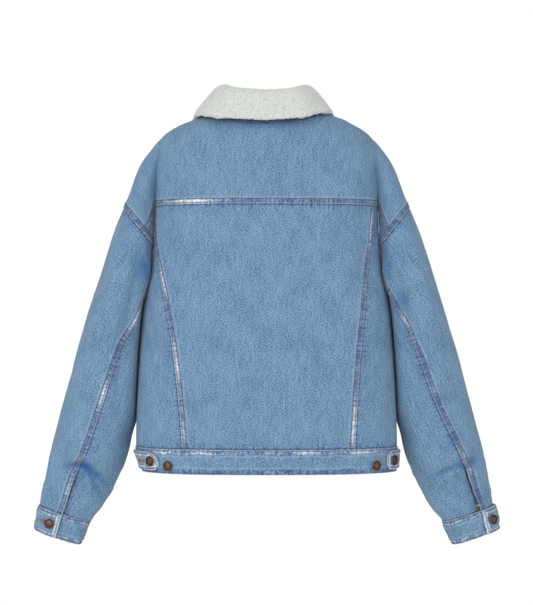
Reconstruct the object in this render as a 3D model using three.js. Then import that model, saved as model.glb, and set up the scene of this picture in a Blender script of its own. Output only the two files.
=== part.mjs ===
// A sherpa lined denim jacket, filled out as it is worn and hollow inside. Millimetres, +Z up.
// The front faces -Y, the back faces +Y and the wearer's left is +X. The origin is in the middle of
// the neck opening, level with the tops of the shoulders that the jacket hangs from.
//
// The cloth lies on two kinds of tube. The torso is a stack of level rings. Each arm is a stack of
// rings that tilt as the sleeve swings out. The line where an arm leaves the torso is the deep fold
// behind and in front of the armhole, called the crease here. The back and the fronts carry on over
// the crease to the dropped armhole seam, which ends where it meets the crease. Below that the
// sleeve is sewn along the crease itself, down to the underarm. Each panel is a grid of points on
// those tubes between its seams, and is then given the thickness of its cloth.

import * as THREE from "three";

// Thickness of each cloth: denim with the pile lining behind it is much thicker than denim alone.
const thick = { body: 4, sleeve: 3.5, band: 4, cuff: 4, placket: 2, tab: 2.4, pile: 7, under: 1.5 };
const seamGap = 0.3; // between two panels that are sewn together
const layGap = 0.8; // under a piece that lies on another

const hemZ = -576;
const waistSeamZ = -535;
const yokeSeamZ = -140;
const cuffSeamDrop = 636.5;
const cuffEdgeDrop = 676.5;

// Torso rings: half width, depth to the back and to the front, and squareness (2 is an ellipse).
const torsoRings = [
  { z: -576, half: 215, back: 94, front: 96, square: 2.5 },
  { z: -535, half: 216.5, back: 98, front: 101, square: 2.5 },
  { z: -430, half: 213.5, back: 108, front: 112, square: 2.5 },
  { z: -345, half: 208.5, back: 115, front: 119, square: 2.5 },
  { z: -285, half: 202.5, back: 118, front: 123, square: 2.5 },
  { z: -204, half: 190.5, back: 119, front: 122, square: 2.5 },
  { z: -141, half: 187.5, back: 115, front: 114, square: 2.5 },
  { z: -88, half: 187, back: 106, front: 97, square: 2.4 },
  { z: -48, half: 184, back: 93, front: 80, square: 2.3 },
  { z: -28, half: 176, back: 85, front: 69, square: 2.2 },
  { z: -18, half: 167, back: 80, front: 62, square: 2.2 },
  { z: -8, half: 151, back: 74, front: 55, square: 2.2 },
  { z: 2, half: 131, back: 67, front: 48, square: 2.2 },
  { z: 10, half: 110, back: 59, front: 42, square: 2.2 },
  { z: 17, half: 88, back: 48, front: 34, square: 2.2 },
];

// Arm rings: how far below the origin the outer point is, the outer and inner points from the
// centre line, how much lower the inner point is than the outer, and the depths in Y.
const armRings = [
  { drop: 20, out: 165, in: 150, sag: 0, back: 12, front: -14 },
  { drop: 28, out: 177.5, in: 153, sag: 0, back: 21, front: -23 },
  { drop: 48, out: 194, in: 161, sag: 0, back: 36, front: -38 },
  { drop: 68, out: 207.5, in: 167, sag: 0, back: 44, front: -46 },
  { drop: 88, out: 216.6, in: 171, sag: 0, back: 50, front: -52 },
  { drop: 128, out: 231, in: 176, sag: 0, back: 58, front: -61 },
  { drop: 178, out: 251.5, in: 178, sag: 0, back: 69, front: -73 },
  { drop: 227, out: 268, in: 184, sag: 0, back: 79, front: -84 },
  { drop: 270, out: 281, in: 197, sag: 0, back: 84, front: -92 },
  { drop: 300, out: 290, in: 207.5, sag: 1, back: 84, front: -96 },
  { drop: 377, out: 314.6, in: 214.5, sag: 9, back: 69, front: -93 },
  { drop: 460, out: 339.5, in: 219.5, sag: 19, back: 50, front: -86 },
  { drop: 526, out: 356, in: 232, sag: 26, back: 32, front: -80 },
  { drop: 580, out: 369, in: 258, sag: 30, back: 15, front: -76 },
  { drop: 615, out: 376.5, in: 279, sag: 30, back: 4, front: -74 },
  { drop: 636.5, out: 380.5, in: 295, sag: 28, back: -2, front: -73 },
  { drop: 676.5, out: 388, in: 312, sag: 27.5, back: -4, front: -72 },
];

// The armhole seam seen from behind is one slanting straight line on the arm.
const armholeSeam = { topX: 236, topZ: -141, slope: 1.26 };
const yokeEndTurn = 120; // where the yoke seam meets the armhole seam, in degrees round the arm
const underarmTurn = 180;

// Neckline: height of the neck seam against the turn round the torso, from front (-90) to back.
const neckline = [
  { turn: -90, z: -66 },
  { turn: -81, z: -61 },
  { turn: -73, z: -46 },
  { turn: -65, z: -22 },
  { turn: -52, z: 3 },
  { turn: -30, z: 14 },
  { turn: 0, z: 17 },
  { turn: 30, z: 16.3 },
  { turn: 46, z: 12.5 },
  { turn: 57, z: 8 },
  { turn: 64, z: 4.5 },
  { turn: 73, z: -1 },
  { turn: 90, z: -4 },
];

// The two long seams of the back, as distances from the centre line.
const backSeams = [
  { z: -540, left: 136, right: 143 },
  { z: -461, left: 142, right: 147 },
  { z: -371, left: 152, right: 153 },
  { z: -296, left: 164, right: 160 },
  { z: -245, left: 174, right: 164 },
  { z: -200, left: 181, right: 170 },
  { z: -140, left: 182, right: 175 },
];

// How far the sleeve's back seam has swung round from where it starts, in degrees.
const sleeveSeam = [
  { along: 0, left: 0, right: 0 },
  { along: 0.21, left: -4, right: -10 },
  { along: 0.41, left: -32, right: -38 },
  { along: 0.58, left: -48, right: -56 },
  { along: 0.74, left: -58, right: -74 },
  { along: 0.88, left: -64, right: -82 },
  { along: 1, left: -60, right: -84 },
];

// Beside the slit above each cuff the under sleeve is tucked in behind the edge of the top sleeve.
const slit = { from: 0.8, run: 0.08, depth: 7, width: 24, armRadius: 40 };

// The collar against the way round the neck, 0 at the back and 1 at the front: its fold line and
// the edge of its fall.
const collarLines = [
  { way: 0, foldX: 0, foldY: 75, foldZ: 39, edgeX: 0, edgeY: 86, edgeZ: 0, share: 0.5 },
  { way: 0.15, foldX: 44, foldY: 66, foldZ: 43, edgeX: 60, edgeY: 80, edgeZ: 3.5, share: 0.5 },
  { way: 0.25, foldX: 60, foldY: 51, foldZ: 48, edgeX: 86, edgeY: 63, edgeZ: 10, share: 0.5 },
  { way: 0.35, foldX: 68, foldY: 30, foldZ: 52, edgeX: 102, edgeY: 38, edgeZ: 12.5, share: 0.5 },
  { way: 0.5, foldX: 71, foldY: 0, foldZ: 53, edgeX: 109, edgeY: 2, edgeZ: 12, share: 0.5 },
  { way: 0.62, foldX: 71, foldY: -22, foldZ: 48, edgeX: 113, edgeY: -30, edgeZ: 3, share: 0.45 },
  { way: 0.75, foldX: 67, foldY: -43, foldZ: 33, edgeX: 112, edgeY: -66, edgeZ: -24, share: 0.4 },
  { way: 0.88, foldX: 47, foldY: -72, foldZ: -6, edgeX: 93, edgeY: -99, edgeZ: -75, share: 0.3 },
  { way: 0.94, foldX: 27, foldY: -89, foldZ: -34, edgeX: 76, edgeY: -113, edgeZ: -102, share: 0.2 },
  { way: 1, foldX: 8, foldY: -102, foldZ: -56, edgeX: 55, edgeY: -126, edgeZ: -124, share: 0.1 },
];
const collarLift = 1.5; // the collar starts this far above the neck edge of the panels
const collarLap = 4.5; // the under collar laps this far down over the yoke and the fronts
const collarEndWay = 0.985;

const button = { radius: 8.5, shank: 2.6, stand: 1.2, rim: 1.2 };
const placketHalf = 19;
const frontButtons = { count: 5, top: -95, bottom: -500 };
const waistTab = { length: 70, height: 30, clip: 9 };
// Each tab's tip and its two buttons, as distances from the middle of the back.
const tabPlaces = {
  left: { tip: 178, button: 190, spare: 163 },
  right: { tip: 194, button: 204, spare: 177 },
};
const bandLap = 34; // the buttoned overlap of the waistband at the front
const cuffLap = 26; // and of each cuff, behind its button
const lapRun = 45; // length over which an overlapping end steps out

const degree = Math.PI / 180;

// The value of one column of a table between its rows, on a smooth curve.
function valueAt(table, key, at, column) {
  const last = table.length - 1;
  let i = 0;
  while (i < last - 1 && table[i + 1][key] <= at) i++;
  const slope = (k) => {
    const before = table[Math.max(k - 1, 0)];
    const after = table[Math.min(k + 1, last)];
    return (after[column] - before[column]) / (after[key] - before[key]);
  };
  const [a, b] = [table[i], table[i + 1]];
  const span = b[key] - a[key];
  const f = (at - a[key]) / span;
  const curve = (2 * f - 3) * f * f;
  const bend = slope(i) * f * (1 - f) ** 2 - slope(i + 1) * f * f * (1 - f);
  return a[column] * (1 + curve) - b[column] * curve + span * bend;
}

function bisect(f, low, high) {
  for (let i = 0; i < 50; i++) {
    const middle = (low + high) / 2;
    if (f(middle) < 0) low = middle;
    else high = middle;
  }
  return (low + high) / 2;
}

const mix = (a, b, f) => a + (b - a) * f;
const steps = (count) => Array.from({ length: count + 1 }, (_, i) => i / count);
const smooth = (f) => f * f * (3 - 2 * f);
const clamp01 = (f) => Math.min(Math.max(f, 0), 1);

// Distance from the centre of a rounded ring of unit size, on its own measure of turn.
function reach(turn, square) {
  return (Math.abs(Math.cos(turn)) ** square + Math.abs(Math.sin(turn)) ** square) ** (-1 / square);
}

function torsoRing(z) {
  const at = (column) => valueAt(torsoRings, "z", z, column);
  return { half: at("half"), back: at("back"), front: at("front"), square: at("square") };
}

// side is 1 for the wearer's left and -1 for the right. turn is in degrees: 0 at the side, 90 at
// the middle of the back and -90 at the middle of the front.
function onTorso(side, turn, z) {
  const ring = torsoRing(z);
  const a = turn * degree;
  const r = reach(a, ring.square);
  const depth = turn > 0 ? ring.back : ring.front;
  return new THREE.Vector3(side * ring.half * r * Math.cos(a), depth * r * Math.sin(a), z);
}

// turn is in degrees: 0 at the outer side of the arm, 90 at the back and 180 next to the torso.
function onArm(side, turn, drop) {
  const at = (column) => valueAt(armRings, "drop", drop, column);
  const a = turn * degree;
  const r = reach(a, 2.2);
  const across = r * Math.cos(a);
  const middleX = (at("out") + at("in")) / 2;
  const halfX = (at("out") - at("in")) / 2;
  const middleY = (at("back") + at("front")) / 2;
  const halfY = (at("back") - at("front")) / 2;
  return new THREE.Vector3(
    side * (middleX + halfX * across),
    middleY + halfY * r * Math.sin(a),
    -drop - (at("sag") * (1 - across)) / 2,
  );
}

// Negative inside the torso, positive outside.
function outsideTorso(p) {
  const ring = torsoRing(p.z);
  const depth = p.y > 0 ? ring.back : ring.front;
  const across = Math.abs(p.x / ring.half) ** ring.square;
  return across + Math.abs(p.y / depth) ** ring.square - 1;
}

// The turn round the torso of a point that lies on it.
function torsoTurn(p) {
  const ring = torsoRing(p.z);
  const depth = p.y > 0 ? ring.back : ring.front;
  return Math.atan2(p.y / depth, Math.abs(p.x) / ring.half) / degree;
}

const topDrop = armRings[0].drop;
const creaseDrop = (turn) => bisect((d) => outsideTorso(onArm(1, turn, d)), topDrop, 300);

function slantDrop(turn) {
  const { topX, topZ, slope } = armholeSeam;
  return bisect(
    (d) => {
      const p = onArm(1, turn, d);
      return topZ - slope * (topX - p.x) - p.z;
    },
    topDrop,
    330,
  );
}

// Where the armhole seam reaches the crease, behind the arm and in front of it.
const meetTurn = (way) =>
  way * bisect((turn) => creaseDrop(way * turn) - slantDrop(way * turn), 90, 176);
const meetBack = meetTurn(1);
const meetFront = meetTurn(-1);
const yokeCreaseTurn = bisect((turn) => creaseDrop(turn) + yokeSeamZ, 60, meetBack);

// Stations round the armhole, front underarm to back underarm, shared by every panel that is sewn
// there. crease is the turn on the crease line and seam the turn on the armhole seam.
function armholeRun(creaseFrom, creaseTo, seamFrom, seamTo, count) {
  return steps(count).map((f) => {
    const crease = mix(creaseFrom, creaseTo, f);
    const seam = mix(seamFrom, seamTo, f);
    return { crease, seam, creaseDrop: creaseDrop(crease) };
  });
}
const nick = 0.3; // half a seam gap as a turn round the arm
const [yokeIn, yokeOut] = [yokeCreaseTurn, yokeEndTurn];
const armhole = {
  frontLow: armholeRun(-underarmTurn, meetFront, -underarmTurn, meetFront, 5),
  frontCap: armholeRun(meetFront, 0, meetFront, 0, 6),
  yokeCap: armholeRun(yokeIn - 2 * nick, 0, yokeOut - 2 * nick, 0, 6),
  backCap: armholeRun(meetBack, yokeIn + nick, meetBack, yokeOut + nick, 2),
  backLow: armholeRun(underarmTurn, meetBack, underarmTurn, meetBack, 6),
};

// The part of a panel that lies on the torso: a net stretched between four edges, each a function
// that gives [turn, z] for a fraction along it. The more the lean, the later the rows turn from the
// shape of the bottom edge to that of the top one.
function torsoGrid(side, edges, columns, rows, lean = 1) {
  const { left, right, bottom, top } = edges;
  const corner = [bottom(0), bottom(1), top(0), top(1)];
  return rows.map((v, i) =>
    columns.map((u) => {
      const risen = v ** lean;
      const [turn, z] = [0, 1].map((k) => {
        const across = mix(left(v, i)[k], right(v, i)[k], u);
        const along = mix(bottom(u)[k], top(u)[k], risen);
        const low = mix(corner[0][k], corner[1][k], u);
        const flat = mix(low, mix(corner[2][k], corner[3][k], u), risen);
        return across + along - flat;
      });
      return onTorso(side, turn, z);
    }),
  );
}

// The part of a panel that lies on the arm, between the crease and the armhole seam.
function capGrid(side, stations, columns) {
  return stations.map((s) =>
    columns.map((u) => {
      const edge = Math.max(slantDrop(s.seam) - seamGap, s.creaseDrop);
      return onArm(side, mix(s.crease, s.seam, u), mix(s.creaseDrop, edge, u));
    }),
  );
}

// Joins two grids with the same rows side by side. They share the edge where they meet.
const beside = (a, b) => a.map((row, i) => [...row.slice(0, -1), ...b[i]]);
// Widens a grid with columns that have no width, so that rows with and without a cap can join.
const pinched = (grid, columns) =>
  grid.map((row) => [...row, ...columns.slice(1).map(() => row.at(-1).clone())]);
const mirroredPair = (right, left) =>
  right.map((row, i) => [...row.slice().reverse(), ...left[i].slice(1)]);

const torsoAxis = (p) => new THREE.Vector3(0, 0, p.z - 40);
const armCentre = (side, drop) => onArm(side, 0, drop).lerp(onArm(side, 180, drop), 0.5);
function armAxis(p) {
  return armCentre(Math.sign(p.x), Math.min(Math.max(-p.z - 5, 60), cuffEdgeDrop));
}

const keyOf = (p) => p.toArray().map((c) => Math.round(c * 1e4)).join();

// Outward normals of a grid's points, each the mean over the cells that touch it. axis gives a
// point inside the garment near any point, which tells in from out.
function gridNormals(grid, axis) {
  const sums = new Map(grid.flat().map((p) => [keyOf(p), new THREE.Vector3()]));
  let facing = 0;
  for (let i = 0; i + 1 < grid.length; i++)
    for (let j = 0; j + 1 < grid[i].length; j++) {
      const cell = [grid[i][j], grid[i][j + 1], grid[i + 1][j + 1], grid[i + 1][j]];
      const across = cell[2].clone().sub(cell[0]);
      const n = across.cross(cell[3].clone().sub(cell[1]));
      facing += n.dot(cell[0].clone().sub(axis(cell[0])));
      for (const key of new Set(cell.map(keyOf))) sums.get(key).add(n);
    }
  for (const n of sums.values()) n.normalize().multiplyScalar(Math.sign(facing));
  return grid.map((row) => row.map((p) => sums.get(keyOf(p))));
}

// Panels that meet at a seam share their normals there, so that both edges are cut parallel.
function seamNormals(panel, others) {
  return panel.grid.map((row, i) =>
    row.map((p, j) => {
      const own = panel.normals[i][j];
      const sum = own.clone();
      for (const other of others) {
        const met = other.points.find(({ q, n }) => q.distanceTo(p) < 1.2 && n.dot(own) > 0.6);
        if (met) sum.add(met.n);
      }
      return sum.normalize();
    }),
  );
}

const moved = (grid, normals, distance) =>
  grid.map((row, i) => row.map((p, j) => p.clone().addScaledVector(normals[i][j], distance)));

// Both edges of a seam split their walls the same way, from the end that ranks lower.
const rank = (p) => p.z + 0.3 * Math.abs(p.x) + 0.2 * p.y;

// The closed body between two grids of the same size. Cells with no size are dropped.
function shell(outer, inner) {
  const points = [];
  const index = new Map();
  const number = (layer) => (p) => {
    const key = layer + keyOf(p);
    if (!index.has(key)) index.set(key, points.push(p) - 1);
    return index.get(key);
  };
  const skin = (grid, layer) => {
    const ids = grid.map((row) => row.map(number(layer)));
    const cells = ids.slice(1).flatMap((row, i) =>
      row.slice(1).flatMap((c, j) => {
        const [a, b, d] = [ids[i][j], ids[i][j + 1], row[j]];
        return [[a, b, c], [a, c, d]];
      }),
    );
    return { ids, cells };
  };
  const [out, inn] = [skin(outer, "out"), skin(inner, "in")];
  const partner = new Map(out.ids.flatMap((row, i) => row.map((id, j) => [id, inn.ids[i][j]])));
  const solid = ([a, b, c]) => a !== b && b !== c && c !== a;
  const faces = out.cells.filter(solid);

  const facing = faces.reduce((sum, [a, b, c]) => {
    const n = points[b].clone().sub(points[a]).cross(points[c].clone().sub(points[a]));
    return sum + n.dot(points[a].clone().sub(points[partner.get(a)]));
  }, 0);
  const skins = facing < 0 ? faces.map(([a, b, c]) => [a, c, b]) : faces;
  const edges = new Set(skins.flatMap(([a, b, c]) => [`${a},${b}`, `${b},${c}`, `${c},${a}`]));
  const walls = [...edges].flatMap((edge) => {
    const [a, b] = edge.split(",").map(Number);
    if (edges.has(`${b},${a}`)) return [];
    const [c, d] = [partner.get(a), partner.get(b)];
    return rank(points[a]) < rank(points[b]) ? [[b, a, d], [a, c, d]] : [[b, a, c], [b, c, d]];
  });
  const inside = skins.map(([a, b, c]) => [partner.get(c), partner.get(b), partner.get(a)]);
  const geometry = new THREE.BufferGeometry();
  const flat = points.flatMap((p) => p.toArray());
  geometry.setAttribute("position", new THREE.Float32BufferAttribute(flat, 3));
  geometry.setIndex([...skins, ...inside, ...walls].flat());
  return geometry;
}

const looks = {
  denim: { color: 0x7196bf, roughness: 0.9, metalness: 0 },
  pile: { color: 0xe6e9e4, roughness: 1, metalness: 0 },
  copper: { color: 0x6b4a3d, roughness: 0.45, metalness: 0.9 },
};
const materials = Object.fromEntries(
  Object.entries(looks).map(([name, look]) => [name, new THREE.MeshStandardMaterial(look)]),
);

const jacket = new THREE.Group();
function add(name, geometry, look = "denim") {
  const mesh = new THREE.Mesh(geometry, materials[look]);
  mesh.name = name;
  jacket.add(mesh);
  return mesh;
}

const nameOf = (side) => (side > 0 ? "left" : "right");
const sides = [1, -1];

// The edges of every panel stop half a seam gap short of its seams.
const half = seamGap / 2;
const waistZ = waistSeamZ + half;
const neckZ = (turn) => valueAt(neckline, "turn", turn, "z");

function creaseEdge(station) {
  const p = onArm(1, station.crease, station.creaseDrop);
  return [torsoTurn(p), p.z];
}

// Turn round the torso at a distance from the centre line.
function turnAtX(x, z) {
  const ring = torsoRing(z);
  const u = Math.min(x / ring.half, 1);
  return Math.atan2((1 - u ** ring.square) ** (1 / ring.square), u) / degree;
}
function longSeamTurn(side, z, shift = 0) {
  return turnAtX(valueAt(backSeams, "z", z, nameOf(side)) + shift, z);
}

// Columns of the yoke and the fronts. Half of them end at the neck and half at the shoulder.
const acrossColumns = steps(10);
const neckShare = 0.5;
function topEdge(centreTurn, f, spread) {
  const shoulderZ = -armhole.yokeCap.at(-1).creaseDrop;
  if (f < neckShare) {
    const turn = centreTurn * (1 - f / neckShare) ** spread;
    return [turn, neckZ(turn)];
  }
  return [0, mix(neckZ(0), shoulderZ, (f - neckShare) / (1 - neckShare))];
}

const frontLean = 16; // nearly all of the turn comes at the shoulder
const capColumns = steps(4);
const centreColumns = steps(7); // from the middle of the back to the long seam

function backYoke() {
  const bottomZ = yokeSeamZ + half;
  const share = (centreColumns.length - 1) / (acrossColumns.length - 1);
  const halves = sides.map((side) => {
    const seam = longSeamTurn(side, yokeSeamZ);
    const right = (v, i) => creaseEdge(armhole.yokeCap[i]);
    const [endTurn, endZ] = right(0, 0);
    const bottom = (u) => {
      if (u <= share) return [mix(90, seam, u / share), bottomZ];
      const f = (u - share) / (1 - share);
      return [mix(seam, endTurn, f), mix(bottomZ, endZ, f)];
    };
    const left = (v) => [90, mix(bottomZ, neckZ(90), v)];
    const edges = { left, right, bottom, top: (u) => topEdge(90, u, 1) };
    const torso = torsoGrid(side, edges, acrossColumns, steps(armhole.yokeCap.length - 1));
    return beside(torso, capGrid(side, armhole.yokeCap, capColumns));
  });
  const grid = mirroredPair(halves[1], halves[0]);
  for (const p of grid.at(-1)) p.y = Math.max(p.y, half);
  return grid;
}

const sideRows = 5; // rows of the side and front panels between the waist seam and the underarm
const { frontLow, frontCap, backLow, backCap } = armhole;
const backRows = steps(sideRows + backLow.length + backCap.length - 2);
const underarm = creaseEdge(backLow[0]);

// The side seam leans a little forwards on its way up to the underarm.
function sideSeam(i, way) {
  const f = i / sideRows;
  const gap = half / torsoRing(waistSeamZ).back / degree;
  return [mix(0, underarm[0], f) + way * gap, mix(waistZ, underarm[1], f)];
}

function backPanel() {
  const top = yokeSeamZ - half;
  return backRows.map((v) => {
    const z = mix(waistZ, top, v);
    const halves = sides.map((side) => {
      const end = longSeamTurn(side, z, -half);
      return centreColumns.map((u) => onTorso(side, mix(90, end, u), z));
    });
    return [...halves[1].slice().reverse(), ...halves[0].slice(1)];
  });
}

// The outer edge of a side panel: up the side seam, up the crease, and up the armhole seam.
function outerEdge(low, cap, way) {
  return (v, i) => {
    if (i <= sideRows) return sideSeam(i, way);
    if (i < sideRows + low.length) return creaseEdge(low[i - sideRows]);
    return creaseEdge(cap[i - sideRows - low.length + 1]);
  };
}

// Joins the part of a panel on the torso to its cap on the arm, which starts part of the way up.
function withCap(torso, side, cap) {
  const start = torso.length - cap.length;
  const low = pinched(torso.slice(0, start), capColumns);
  return [...low, ...beside(torso.slice(start), capGrid(side, cap, capColumns))];
}

function sideBack(side) {
  const top = yokeSeamZ - half;
  const right = outerEdge(backLow, backCap, 1);
  const last = backRows.length - 1;
  const left = (v) => {
    const z = mix(waistZ, top, v);
    return [longSeamTurn(side, z, half), z];
  };
  const between = (a, b) => (u) => [mix(a[0], b[0], u), mix(a[1], b[1], u)];
  const edges = {
    left,
    right,
    bottom: between(left(0), right(0, 0)),
    top: between(left(1), right(1, last)),
  };
  return withCap(torsoGrid(side, edges, steps(4), backRows), side, backCap);
}

function front(side) {
  const right = outerEdge(frontLow, frontCap, -1);
  const count = sideRows + frontLow.length + frontCap.length - 2;
  const reached = [0]; // how far up its outer edge each row is
  for (let i = 1; i <= count; i += 1) {
    const [from, to] = [right(0, i - 1), right(0, i)].map(([turn, z]) => onTorso(1, turn, z));
    reached.push(reached.at(-1) + from.distanceTo(to));
  }
  const rows = reached.map((length) => length / reached.at(-1));
  const edges = {
    left: (v) => [-90, mix(waistZ, neckZ(-90), v)],
    right,
    bottom: (u) => [mix(-90, right(0, 0)[0], u), waistZ],
    top: (u) => topEdge(-90, u, 0.6), // closer together where the neckline dips
  };
  const grid = withCap(torsoGrid(side, edges, acrossColumns, rows, frontLean), side, frontCap);
  for (const row of grid) row[0].x = side * half;
  for (const p of grid.at(-1)) p.y = Math.min(p.y, -half);
  return grid;
}

// Sleeves. along runs from the armhole seam, 0, to the cuff seam, 1.
const sleeveRows = [0, 0.05, 0.12, 0.21, 0.32, 0.43, 0.54, 0.64, 0.73, 0.8, 0.86, 0.93, 1];
const seamSwing = (side, along) => valueAt(sleeveSeam, "along", along, nameOf(side));
const edgeDrop = (turn) => Math.max(slantDrop(turn), creaseDrop(turn));
const opening = (along) => smooth(clamp01((along - slit.from) / slit.run));

// A sleeve panel: turns are its stations on the armhole seam. Going down the sleeve the edge at
// atSeam swings round and draws the stations with it, and depthAt sets points back into the arm.
function sleeveGrid(side, turns, atSeam, depthAt) {
  const [first, last] = [turns[0], turns.at(-1)];
  return sleeveRows.map((along) =>
    turns.map((turn) => {
      const share = (turn - first) / (last - first);
      const swing = seamSwing(side, along) * (atSeam === last ? share : 1 - share);
      const drop = mix(edgeDrop(turn) + 3 * seamGap, cuffSeamDrop - 3 * seamGap, along);
      const p = onArm(side, turn + swing, drop);
      const inward = armCentre(side, drop).sub(p).normalize();
      return p.addScaledVector(inward, depthAt(Math.abs(turn + swing - atSeam), along));
    }),
  );
}

function topSleeve(side) {
  const { yokeCap } = armhole;
  const stations = [
    ...frontLow,
    ...frontCap.slice(1),
    ...yokeCap.slice(0, -1).reverse(),
    ...backCap.slice(0, -1).reverse(),
  ];
  const turns = stations.map((s) => s.seam);
  turns[0] += nick;
  turns[turns.length - 1] -= nick;
  return sleeveGrid(side, turns, turns.at(-1), () => 0);
}

// Beside the slit the under sleeve dips in behind the edge of the top sleeve.
function underSleeve(side) {
  const turns = backLow.map((s) => s.seam).reverse();
  turns[0] += nick;
  turns[turns.length - 1] -= nick;
  const dip = (away, along) => {
    const beside = clamp01(1 - (away * degree * slit.armRadius) / slit.width);
    return slit.depth * opening(along) * smooth(beside);
  };
  return sleeveGrid(side, turns, turns[0], dip);
}

const panels = [
  { name: "back_yoke", grid: backYoke() },
  { name: "back_panel", grid: backPanel() },
  ...sides.flatMap((side) => [
    { name: `side_back_${nameOf(side)}`, grid: sideBack(side) },
    { name: `front_${nameOf(side)}`, grid: front(side) },
  ]),
  ...sides.flatMap((side) => [
    { name: `sleeve_top_${nameOf(side)}`, grid: topSleeve(side), arm: true },
    { name: `sleeve_under_${nameOf(side)}`, grid: underSleeve(side), arm: true },
  ]),
];
for (const panel of panels) {
  panel.normals = gridNormals(panel.grid, panel.arm ? armAxis : torsoAxis);
  panel.points = panel.grid.flatMap((row, i) => row.map((q, j) => ({ q, n: panel.normals[i][j] })));
}
for (const panel of panels) {
  const normals = seamNormals(panel, panels.filter((other) => other !== panel));
  const inner = moved(panel.grid, normals, -(panel.arm ? thick.sleeve : thick.body));
  add(panel.name, shell(panel.grid, inner));
}

// A point off the torso or the arm by lift, along the normal there.
function raise(surface, a, b, axis, lift) {
  const p = surface(a, b);
  const alongA = surface(a + 0.5, b).sub(surface(a - 0.5, b));
  const alongB = surface(a, b + 0.5).sub(surface(a, b - 0.5));
  const n = alongA.cross(alongB).normalize();
  const out = Math.sign(n.dot(p.clone().sub(axis(p))));
  return p.addScaledVector(n, out * lift);
}
function offTorso(side, turn, z, lift) {
  return raise((t, h) => onTorso(side, t, h), turn, z, torsoAxis, lift);
}
function offArm(side, turn, drop, lift) {
  return raise((t, d) => onArm(side, t, d), turn, drop, armAxis, lift);
}

// A layer of cloth: place gives the point of the grid at any lift off the surface under it.
function layer(name, place, columns, rows, thickness) {
  const at = (lift) => rows.map((v) => columns.map((f) => place(f, v, lift)));
  add(name, shell(at(0), at(-thickness)));
}

// How far the lapping end of a band has stepped out to clear its other end.
function lapRise(f, length, lap, thickness) {
  const rise = clamp01((f * length - (length - lap - lapRun)) / lapRun);
  return smooth(rise) * (thickness + layGap);
}

// Waistband: from its end at the front right, round the back, to the end that laps over it.
const waistRound = 1010; // length once round the hem
function onBand(f, v, lift) {
  const length = waistRound + bandLap;
  const whole = -90 - (360 * (f * length - bandLap / 2)) / waistRound;
  const turn = ((whole + 900) % 360) - 180;
  const away = lift + lapRise(f, length, bandLap, thick.band);
  const z = mix(hemZ, waistSeamZ - half, v);
  if (Math.abs(turn) <= 90) return offTorso(1, turn, z, away);
  return offTorso(-1, Math.sign(turn) * 180 - turn, z, away);
}
layer("waistband", onBand, steps(62), steps(1), thick.band);

// Cuffs: the outer side of each laps over the end that follows the back seam.
const cuffRound = 250;
for (const side of sides) {
  const length = cuffRound + cuffLap;
  const seam = meetBack + seamSwing(side, 1);
  const onCuff = (f, v, lift) => {
    const turn = seam + ((f * length - cuffLap) / cuffRound) * 360;
    const drop = mix(cuffEdgeDrop, cuffSeamDrop + half, v);
    return offArm(side, turn, drop, lift + lapRise(f, length, cuffLap, thick.cuff));
  };
  layer(`cuff_${nameOf(side)}`, onCuff, steps(30), steps(1), thick.cuff);
}

// A point off the front (way -1) or the back (way 1) by its distance from the centre line.
function offTorsoAtX(x, z, way, lift) {
  return offTorso(x < 0 ? -1 : 1, way * turnAtX(Math.abs(x), z), z, lift);
}

// Placket: the buttoned strip down the front, over the edges of both fronts.
function onPlacket(f, v, lift) {
  const z = mix(waistSeamZ + seamGap, neckZ(-90) - collarLap - 2, v);
  return offTorsoAtX(mix(-1, 1, f) * placketHalf, z, -1, layGap + thick.placket + lift);
}
const frontRows = steps(sideRows + frontLow.length + frontCap.length - 2);
layer("front_placket", onPlacket, steps(4), frontRows, thick.placket);

// Side tabs: each starts near the side seam and is buttoned onto the back of the waistband.
const bandMiddle = (hemZ + waistSeamZ) / 2;
for (const side of sides) {
  const tip = turnAtX(tabPlaces[nameOf(side)].tip, bandMiddle);
  const onTab = (f, v, lift) => {
    const clip = waistTab.clip * clamp01(1 - ((1 - f) * waistTab.length) / waistTab.clip);
    const z = bandMiddle + mix(-1, 1, v) * (waistTab.height / 2 - clip);
    return offTorso(side, mix(2, tip, f), z, layGap + thick.tab + lift);
  };
  const columns = [...steps(7).slice(0, -1), 1 - waistTab.clip / waistTab.length, 1];
  layer(`waist_tab_${nameOf(side)}`, onTab, columns, steps(1), thick.tab);
}

// Collar. way runs from the back, 0, to the front, 1. The stand and the fall are the two halves of
// a rounded arch from the neck seam, over the fold line, to the edge of the fall.
const neckTurn = (way) => 90 - 180 * way;
function foldPoint(side, way, lean) {
  const at = (column) => valueAt(collarLines, "way", way, column);
  const start = onTorso(side, neckTurn(way), neckZ(neckTurn(way)));
  start.z += collarLift;
  const fold = new THREE.Vector3(side * at("foldX"), at("foldY"), at("foldZ"));
  const edge = new THREE.Vector3(side * at("edgeX"), at("edgeY"), at("edgeZ"));
  const foot = start.clone().lerp(edge, at("share"));
  const a = lean * degree;
  const r = reach(a, 3);
  const end = lean < 90 ? start : edge;
  return foot.clone()
    .addScaledVector(end.sub(foot), r * Math.abs(Math.cos(a)))
    .addScaledVector(fold.sub(foot), r * Math.sin(a));
}
const neckWays = [0, 0.06, 0.12, 0.18, 0.25, 0.33, 0.42, 0.5, 0.58, 0.66, 0.74, 0.81, 0.87, 0.93];
const foldSteps = [0, 28, 48, 67, 90, 113, 132, 152, 180]; // degrees round the arch
const halfRound = [...neckWays, collarEndWay];
const alongSide = (ways, side) => ways.map((way) => [side, way]);
const round = [...alongSide(halfRound.slice(1).reverse(), -1), ...alongSide(halfRound, 1)];
const foldGrid = round.map(([side, way]) => foldSteps.map((lean) => foldPoint(side, way, lean)));
const below = (p) => p.clone().sub(new THREE.Vector3(0, 0, 1));
const foldNormals = gridNormals(foldGrid, below);
const pile = moved(foldGrid, foldNormals, thick.pile);
for (const row of pile) row[0].z += 6; // clears the neck edge of the panels
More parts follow.
